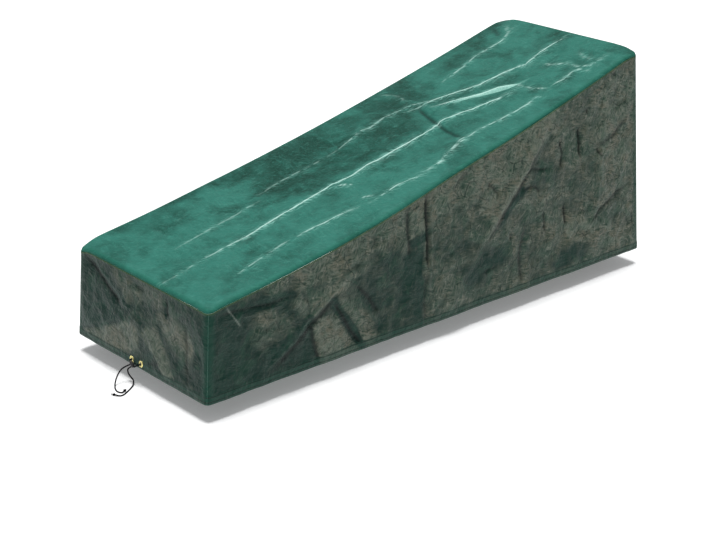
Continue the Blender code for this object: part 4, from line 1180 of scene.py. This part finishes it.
crumpled.links.new(calc(crumpled, "SUBTRACT", cell.outputs[0], deep), result["Height"])
crumpled.links.new(between(crumpled, edge, 0.0, 0.08, 1.0, 0.0), result["Line"])

# %% [markdown]
# The sheet is woven from flat plastic tapes under its coating. Two crossed waves with the tapes' pitch
# show it close up, as a faint raised check.

# %% Group: woven tapes
woven, given, result = new_group(
    "woven tapes", [("Vector", VECTOR, None), ("Pitch", FLOAT, 0.0022)], [("Height", FLOAT)])
place = put(woven, "ShaderNodeSeparateXYZ", {0: given["Vector"]}).outputs
beat = calc(woven, "DIVIDE", math.pi, given["Pitch"])
first = calc(woven, "SINE", calc(woven, "MULTIPLY", place[0], beat))
second = calc(woven, "SINE", calc(woven, "MULTIPLY", place[1], beat))
woven.links.new(calc(woven, "MULTIPLY", first, second), result["Height"])

# %% [markdown]
# Strokes are the fine feathery wrinkles of a sheet that was balled up: noise that is stretched one way
# and turned. Two such layers, turned differently, take turns over the cloth in patches.

# %% Group: feathery strokes
strokes, given, result = new_group(
    "feathery strokes",
    [("Vector", VECTOR, None), ("Size", FLOAT, 0.008), ("Stretch", FLOAT, 5.0), ("Turn", FLOAT, 0.6),
     ("Spread", FLOAT, 1.25)],
    [("Value", FLOAT)])
swirl = put(strokes, "ShaderNodeTexNoise", {"Vector": given["Vector"], "Scale": 16.0, "Detail": 2.0})
bend = put(strokes, "ShaderNodeVectorMath", {0: swirl.outputs[1], "Scale": 0.030}, operation="SCALE")
bent = put(strokes, "ShaderNodeVectorMath", {0: given["Vector"], 1: bend.outputs[0]}).outputs[0]
layers = []
for part in (0.0, 1.0):
    angle = calc(strokes, "MULTIPLY_ADD", given["Spread"], part, given["Turn"])
    turned = put(strokes, "ShaderNodeVectorRotate", {"Vector": bent, "Angle": angle}, rotation_type="Z_AXIS")
    place = put(strokes, "ShaderNodeSeparateXYZ", {0: turned.outputs[0]}).outputs
    narrow = calc(strokes, "DIVIDE", place[0], given["Size"])
    long = calc(strokes, "DIVIDE", calc(strokes, "DIVIDE", place[1], given["Size"]), given["Stretch"])
    drawn = put(strokes, "ShaderNodeCombineXYZ", {0: narrow, 1: long, 2: part}).outputs[0]
    layers.append(noise(strokes, drawn, 0.9, 2.0, 0.6, 0.2))
patch = between(strokes, noise(strokes, given["Vector"], 13.0, 2.0), 0.46, 0.54)
mixed = put(strokes, "ShaderNodeMix", {0: patch, 2: layers[0], 3: layers[1]}).outputs[0]
strokes.links.new(mixed, result["Value"])


def place_strokes(tree, cloth, size, stretch, turn, spread=1.25):
    inputs = {"Vector": cloth, "Size": size, "Stretch": stretch, "Turn": turn, "Spread": spread}
    return place_group(tree, strokes, inputs)["Value"]


# %% [markdown]
# A row of stitches is a row of short dashes. The group gets the distance along the row and the
# distance away from it, and gives a mask.

# %% Group: stitched row
stitched, given, result = new_group(
    "stitched row",
    [("Along", FLOAT, 0.0), ("Away", FLOAT, 0.0), ("Pitch", FLOAT, 0.006), ("Width", FLOAT, 0.0011)],
    [("Mask", FLOAT)])
part = calc(stitched, "FRACT", calc(stitched, "DIVIDE", given["Along"], given["Pitch"]))
dash = calc(stitched, "MULTIPLY", between(stitched, part, 0.10, 0.20), between(
    stitched, part, 0.82, 0.92, 1.0, 0.0))
near = calc(stitched, "SUBTRACT", 1.0, calc(
    stitched, "DIVIDE", calc(stitched, "ABSOLUTE", given["Away"]), given["Width"]), clamp=True)
stitched.links.new(calc(stitched, "MULTIPLY", dash, between(stitched, near, 0.0, 0.5)), result["Mask"])
print(len(bpy.data.node_groups), "node groups")

# %% [markdown]
# ## Green coated sheet
#
# The top is emerald green with a satin coating. Its colour is cloudy where the coating is thicker or rubbed,
# it is deeper along the rolled edges, and it is white along the sharpest creases, partly worn coating and
# partly painted glints. The light and shade of its facets, the shading of its crumples and the shade in its
# troughs are painted into the colour too.

# %% Green sheet
green, tree, shader, lift = finish_material("green_sheet", 0.38, bump=0.0010)
shader.inputs["Specular IOR Level"].default_value = 0.18
cloth = put(tree, "ShaderNodeUVMap", uv_map="cloth").outputs[0]
known = read_attributes(tree, "worn", "glint_halo", "shade", "light_and_rub_tone", "crumple_light_and_rub", "from_edge")
clouds = noise(tree, cloth, 5.5, 5.0, 0.62, 0.8)
brushed = place_strokes(tree, cloth, 0.008, 8.0, 1.0, 0.7)
fine = place_strokes(tree, cloth, 0.0036, 4.0, 1.3)
glint_strokes = place_strokes(tree, cloth, 0.0042, 9.0, 0.12, 0.5)
big = place_group(tree, crumpled, {"Vector": cloth, "Size": 0.050, "Warp": 0.55})["Height"]
small = place_group(tree, crumpled, {"Vector": cloth, "Size": 0.014, "Warp": 0.6})["Height"]
weave = place_group(tree, woven, {"Vector": cloth, "Pitch": 0.0022})[0]

clouds_and_facet_light = calc(tree, "MULTIPLY_ADD", calc(tree, "SUBTRACT", clouds, 0.5), 0.7, 0.5)
# the cloudy base colour is also lightened and darkened by painted light and shade of facets and crumples
clouds_and_facet_light = calc(tree, "MULTIPLY_ADD", known["crumple_light_and_rub"], 0.24, clouds_and_facet_light)
color = blend_colors(tree, between(tree, clouds_and_facet_light, 0.20, 0.62), (0.001, 0.040, 0.026, 1),
                     (0.026, 0.162, 0.124, 1))
# painted highlight: facets such as the flap, painted pale where they catch the light
pale = between(tree, known["light_and_rub_tone"], 0.45, 0.95)
# painted glints: light strokes along the folds
glints = between(tree, glint_strokes, 0.48, 0.60, 0.0, 0.70)
broken = between(tree, noise(tree, cloth, 30.0, 3.0), 0.40, 0.56)
broken = calc(tree, "MAXIMUM", broken, between(tree, known["worn"], 0.45, 0.62))
# white on the crests: partly worn coating, partly a painted glint
wear_and_glint_white = times(tree, times(tree, known["worn"], broken), 0.95)
color = paint(tree, color, [
    (between(tree, brushed, 0.50, 0.70, 0.0, 0.17), (0.055, 0.270, 0.215)),
    (between(tree, fine, 0.46, 0.70, 0.0, 0.20), (0.060, 0.270, 0.215)),
    (between(tree, brushed, 0.50, 0.34, 0.0, 0.17), (0.002, 0.066, 0.045)),
    # painted glints: short light strokes along the folds
    (between(tree, glint_strokes, 0.58, 0.68, 0.0, 0.22), (0.120, 0.380, 0.310)),
    # painted shade in the troughs
    (times(tree, known["shade"], 0.95), (0.001, 0.026, 0.019)),
    (between(tree, known["from_edge"], 0.004, 0.020, 0.45, 0.0), (0.010, 0.125, 0.082)),
    # painted highlight on the pale facets
    (times(tree, pale, between(tree, fine, 0.30, 0.62, 0.4, 0.8)), (0.330, 0.620, 0.530)),
    # painted glints: pale strokes beside the white crests
    (times(tree, known["glint_halo"], glints), (0.260, 0.560, 0.480)),
    # worn white and painted glint along the crests
    (wear_and_glint_white, (0.560, 0.820, 0.740)),
])
tree.links.new(color, shader.inputs["Base Color"])

height = calc(tree, "MULTIPLY_ADD", small, 0.35, big)
height = calc(tree, "MULTIPLY_ADD", fine, 0.12, height)
height = calc(tree, "MULTIPLY_ADD", weave, 0.03, height)
tree.links.new(height, lift.inputs["Height"])
tree.links.new(between(tree, known["from_edge"], 0.004, 0.030, 0.75, 0.40), shader.inputs["Roughness"])

# %% [markdown]
# ## Olive coated sheet
#
# The walls are the same sheet, seen against the dark inside. Crumpling has rubbed them grey and brown, and
# the green shows where the cloth is smooth or doubled: at the hem, at the upright seams and in the dark
# folds. The light and shade of their facets, the shade in their troughs, slits and crumple lines and the
# shade along the stitch grooves are painted into the colour, and the white on their pleat crests is partly
# painted glint. Two rows of dark stitches run along the hem.

# %% Olive sheet
STITCH_ROWS = (0.009, 0.0255)       # above the hem

olive, tree, shader, lift = finish_material("olive_sheet", 0.42, bump=0.0030)
shader.inputs["Specular IOR Level"].default_value = 0.16
cloth = put(tree, "ShaderNodeUVMap", uv_map="cloth").outputs[0]
place = put(tree, "ShaderNodeSeparateXYZ", {0: cloth}).outputs
known = read_attributes(tree, "worn", "shade", "light_and_rub_tone", "from_hem", "from_seam", "from_corner",
                        "toward_head")
zones = noise(tree, cloth, 4.5, 4.0, 0.62, 0.9)
tints = noise(tree, cloth, 13.0, 3.0, 0.6, 0.8)
feather = place_strokes(tree, cloth, 0.0060, 4.0, 0.5)
cross = place_strokes(tree, cloth, 0.0095, 4.5, 2.0)
fine = place_strokes(tree, cloth, 0.0032, 3.0, 1.1)
big = place_group(tree, crumpled, {"Vector": cloth, "Size": 0.038, "Warp": 0.6})
small = place_group(tree, crumpled, {"Vector": cloth, "Size": 0.012, "Warp": 0.7})
weave = place_group(tree, woven, {"Vector": cloth, "Pitch": 0.0022})[0]

headward = between(tree, known["toward_head"], -1.0, 0.1, -0.13, 0.04)
zones = calc(tree, "MULTIPLY_ADD", calc(tree, "SUBTRACT", zones, 0.5), 0.42, 0.5)
total = calc(tree, "MULTIPLY_ADD", known["light_and_rub_tone"], 0.30, calc(tree, "ADD", zones, headward))
# real rubbing, and also the facets' painted light and shade through their tone
rubbed_and_facet_lit = between(tree, total, 0.30, 0.76)
marks = between(tree, rubbed_and_facet_lit, 0.0, 0.6, 0.25, 0.80)
cross_marks = between(tree, rubbed_and_facet_lit, 0.0, 0.7, 0.06, 0.42)
wide = times(tree, big["Line"], between(tree, noise(tree, cloth, 19.0, 2.0), 0.50, 0.58, 0.0, 0.9))
patches = between(tree, noise(tree, cloth, 24.0, 2.0), 0.52, 0.60, 0.0, 0.5)
# painted shade in the small valleys where crumple facets meet
crumple_line_shade = calc(tree, "MAXIMUM", wide, times(tree, small["Line"], patches))
broken = between(tree, noise(tree, cloth, 38.0, 2.0), 0.36, 0.54, 0.0, 0.60)

color = blend_colors(tree, rubbed_and_facet_lit, (0.005, 0.026, 0.019, 1), (0.120, 0.150, 0.114, 1))
coats = [
    (times(tree, rubbed_and_facet_lit, between(tree, tints, 0.46, 0.64, 0.0, 0.70)), (0.112, 0.104, 0.070)),
    (between(tree, tints, 0.50, 0.34, 0.0, 0.50), (0.018, 0.066, 0.040)),
    (times(tree, marks, between(tree, feather, 0.54, 0.34)), (0.012, 0.038, 0.025)),
    (times(tree, marks, between(tree, fine, 0.50, 0.34, 0.0, 0.50)), (0.014, 0.038, 0.026)),
    (times(tree, marks, between(tree, feather, 0.54, 0.68, 0.0, 0.35)), (0.230, 0.225, 0.170)),
    (times(tree, cross_marks, between(tree, cross, 0.54, 0.72)), (0.250, 0.260, 0.210)),
    # painted shade in the crumple lines
    (times(tree, marks, crumple_line_shade), (0.006, 0.020, 0.014)),
    # painted light: pale facets, partly lit and partly rubbed
    (between(tree, known["light_and_rub_tone"], 0.55, 1.10, 0.0, 0.26), (0.150, 0.166, 0.134)),
    # painted shade: dark facets, partly shade and partly smooth green cloth
    (between(tree, known["light_and_rub_tone"], -0.35, -1.05, 0.0, 0.42), (0.009, 0.046, 0.032)),
    # painted shade in the troughs and slits, nearly black
    (known["shade"], (0.001, 0.005, 0.004)),
    (between(tree, known["from_hem"], 0.028, 0.031, 0.62, 0.0), (0.020, 0.068, 0.048)),
    (between(tree, known["from_corner"], 0.012, 0.038, 0.80, 0.0), (0.008, 0.052, 0.034)),
    (between(tree, known["from_corner"], 0.0012, 0.0032, 0.55, 0.0), (0.024, 0.140, 0.096)),
    (between(tree, known["from_seam"], 0.0035, 0.0065, 0.65, 0.0), (0.050, 0.095, 0.040)),
]
for row in STITCH_ROWS:
    away = calc(tree, "SUBTRACT", known["from_hem"], row)
    dashes = place_group(tree, stitched, {"Along": place[0], "Away": away, "Width": 0.0014})[0]
    # painted shade in the groove along the stitch row
    stitch_groove_shade = between(tree, calc(tree, "ABSOLUTE", away), 0.0, 0.0035, 0.55, 0.0)
    coats += [(stitch_groove_shade, (0.006, 0.020, 0.014)), (times(tree, dashes, 0.85), (0.003, 0.009, 0.007))]
# worn white and painted glint along the pleat crests
coats.append((times(tree, known["worn"], broken), (0.42, 0.48, 0.42)))
tree.links.new(paint(tree, color, coats), shader.inputs["Base Color"])

height = calc(tree, "MULTIPLY_ADD", small["Height"], 0.35, big["Height"])
height = calc(tree, "MULTIPLY_ADD", feather, 0.9, height)
height = calc(tree, "MULTIPLY_ADD", weave, 0.015, height)
tree.links.new(height, lift.inputs["Height"])
tree.links.new(between(tree, zones, 0.3, 0.7, 0.36, 0.50), shader.inputs["Roughness"])

# %% [markdown]
# ## Brass, cord and plastic
#
# The eyelets are pressed brass with a little tarnish. The cord is a black braid: two families of diagonal
# ridges on its UV map, with painted shading that makes the ridges a little lighter than the grooves between
# them. The lock is satin black plastic with the fine grain of its mould.

# %% Brass
brass, tree, shader, lift = finish_material("eyelet_brass", 0.28, metallic=1.0, bump=0.00005)
spot = put(tree, "ShaderNodeTexCoord").outputs["Object"]
tarnish = noise(tree, spot, 240.0, 4.0, 0.6)
color = blend_colors(tree, between(tree, tarnish, 0.48, 0.70), (0.92, 0.82, 0.34, 1),
                     (0.55, 0.44, 0.14, 1))
tree.links.new(color, shader.inputs["Base Color"])
tree.links.new(between(tree, tarnish, 0.4, 0.7, 0.22, 0.42), shader.inputs["Roughness"])
tree.links.new(noise(tree, spot, 1800.0, 2.0), lift.inputs["Height"])

# %% Black braided cord
black_cord, tree, shader, lift = finish_material("black_cord", 0.72, bump=0.00035)
cloth = put(tree, "ShaderNodeUVMap", uv_map="cloth").outputs[0]
place = put(tree, "ShaderNodeSeparateXYZ", {0: cloth}).outputs
turn = calc(tree, "DIVIDE", place[0], CORD / 2)
step = calc(tree, "MULTIPLY", place[1], 2 * math.pi / 0.0036)
one_way = calc(tree, "SINE", calc(tree, "ADD", calc(tree, "MULTIPLY", turn, 4.0), step))
other_way = calc(tree, "SINE", calc(tree, "SUBTRACT", calc(tree, "MULTIPLY", turn, 4.0), step))
braid = calc(tree, "MULTIPLY", one_way, other_way)
# painted shading of the braid: ridges lighter, grooves darker
color = blend_colors(tree, between(tree, braid, -0.6, 0.6), (0.001, 0.001, 0.002, 1),
                     (0.006, 0.006, 0.007, 1))
shader.inputs["Specular IOR Level"].default_value = 0.08
tree.links.new(color, shader.inputs["Base Color"])
tree.links.new(braid, lift.inputs["Height"])

# %% Black plastic
black_plastic, tree, shader, lift = finish_material("black_plastic", 0.38, bump=0.00004)
spot = put(tree, "ShaderNodeTexCoord").outputs["Object"]
grain = noise(tree, spot, 1500.0, 3.0, 0.6)
color = blend_colors(tree, between(tree, grain, 0.35, 0.65), (0.010, 0.010, 0.012, 1),
                     (0.020, 0.020, 0.022, 1))
tree.links.new(color, shader.inputs["Base Color"])
tree.links.new(grain, lift.inputs["Height"])
tree.links.new(between(tree, grain, 0.3, 0.7, 0.32, 0.46), shader.inputs["Roughness"])


# %% Put the finishes on
def dress(finish, *pieces):
    for piece in pieces:
        piece.data.materials.clear()
        piece.data.materials.append(finish)


dress(green, top)
dress(olive, side_right, side_left, foot, head)
dress(brass, *eyelets)
dress(black_cord, *cords.values(), *knots.values())
dress(black_plastic, lock)

# %% [markdown]
# ## Studio
#
# The floor is plain and nearly white, and glows a little, so that the shadow on it stays a light grey.
# One soft sun stands straight overhead, which keeps the shadow close under the hem, and a low strip behind
# the far side adds a faint sheen to the creases of the top; their white glints are painted into the green
# sheet's colour.

# %% Floor
deselect_all()
bpy.ops.mesh.primitive_plane_add(size=60, location=(0, 0, 0))
floor = bpy.context.object
floor.name = "floor"
floor.data.transform(Matrix.Translation((0, 0, FLOOR_Z)))
paper, tree, shader, lift = finish_material("white_paper", 0.9, bump=0.0002)
spot = put(tree, "ShaderNodeTexCoord").outputs["Object"]
grain = noise(tree, spot, 60.0, 2.0)
color = blend_colors(tree, grain, (0.86, 0.86, 0.86, 1), (0.88, 0.88, 0.88, 1))
tree.links.new(color, shader.inputs["Base Color"])
tree.links.new(grain, lift.inputs["Height"])
shader.inputs["Specular IOR Level"].default_value = 0.0
shader.inputs["Emission Color"].default_value = (1, 1, 1, 1)
shader.inputs["Emission Strength"].default_value = 0.21
dress(paper, floor)


# %% Lights
def soft_light(name, place, aim, size, power, size_y=None):
    data = bpy.data.lights.new(name, "AREA")
    data.shape = "RECTANGLE"
    data.size, data.size_y = size, size_y or size
    data.energy = power
    made = bpy.data.objects.new(name, data)
    made.location = place
    made.rotation_euler = (Vector(aim) - Vector(place)).to_track_quat("-Z", "Y").to_euler()
    bpy.context.scene.collection.objects.link(made)
    return made


sun = bpy.data.objects.new("high key", bpy.data.lights.new("high key", "SUN"))
sun.data.energy = 3.4
sun.data.angle = math.radians(22)
sun.rotation_euler = Vector((0.03, -0.02, -1.0)).to_track_quat("-Z", "Y").to_euler()
bpy.context.scene.collection.objects.link(sun)
soft_light("glint strip", (-3.4, 2.2, 2.9), (0, 0.2, 0), 2.4, 3, 0.25)
world = bpy.data.worlds.new("studio")
bpy.context.scene.world = world
world.use_nodes = True
world.node_tree.nodes["Background"].inputs[0].default_value = (0.95, 0.97, 1.0, 1)
world.node_tree.nodes["Background"].inputs[1].default_value = 0.25
bpy.context.scene.view_settings.view_transform = "Standard"
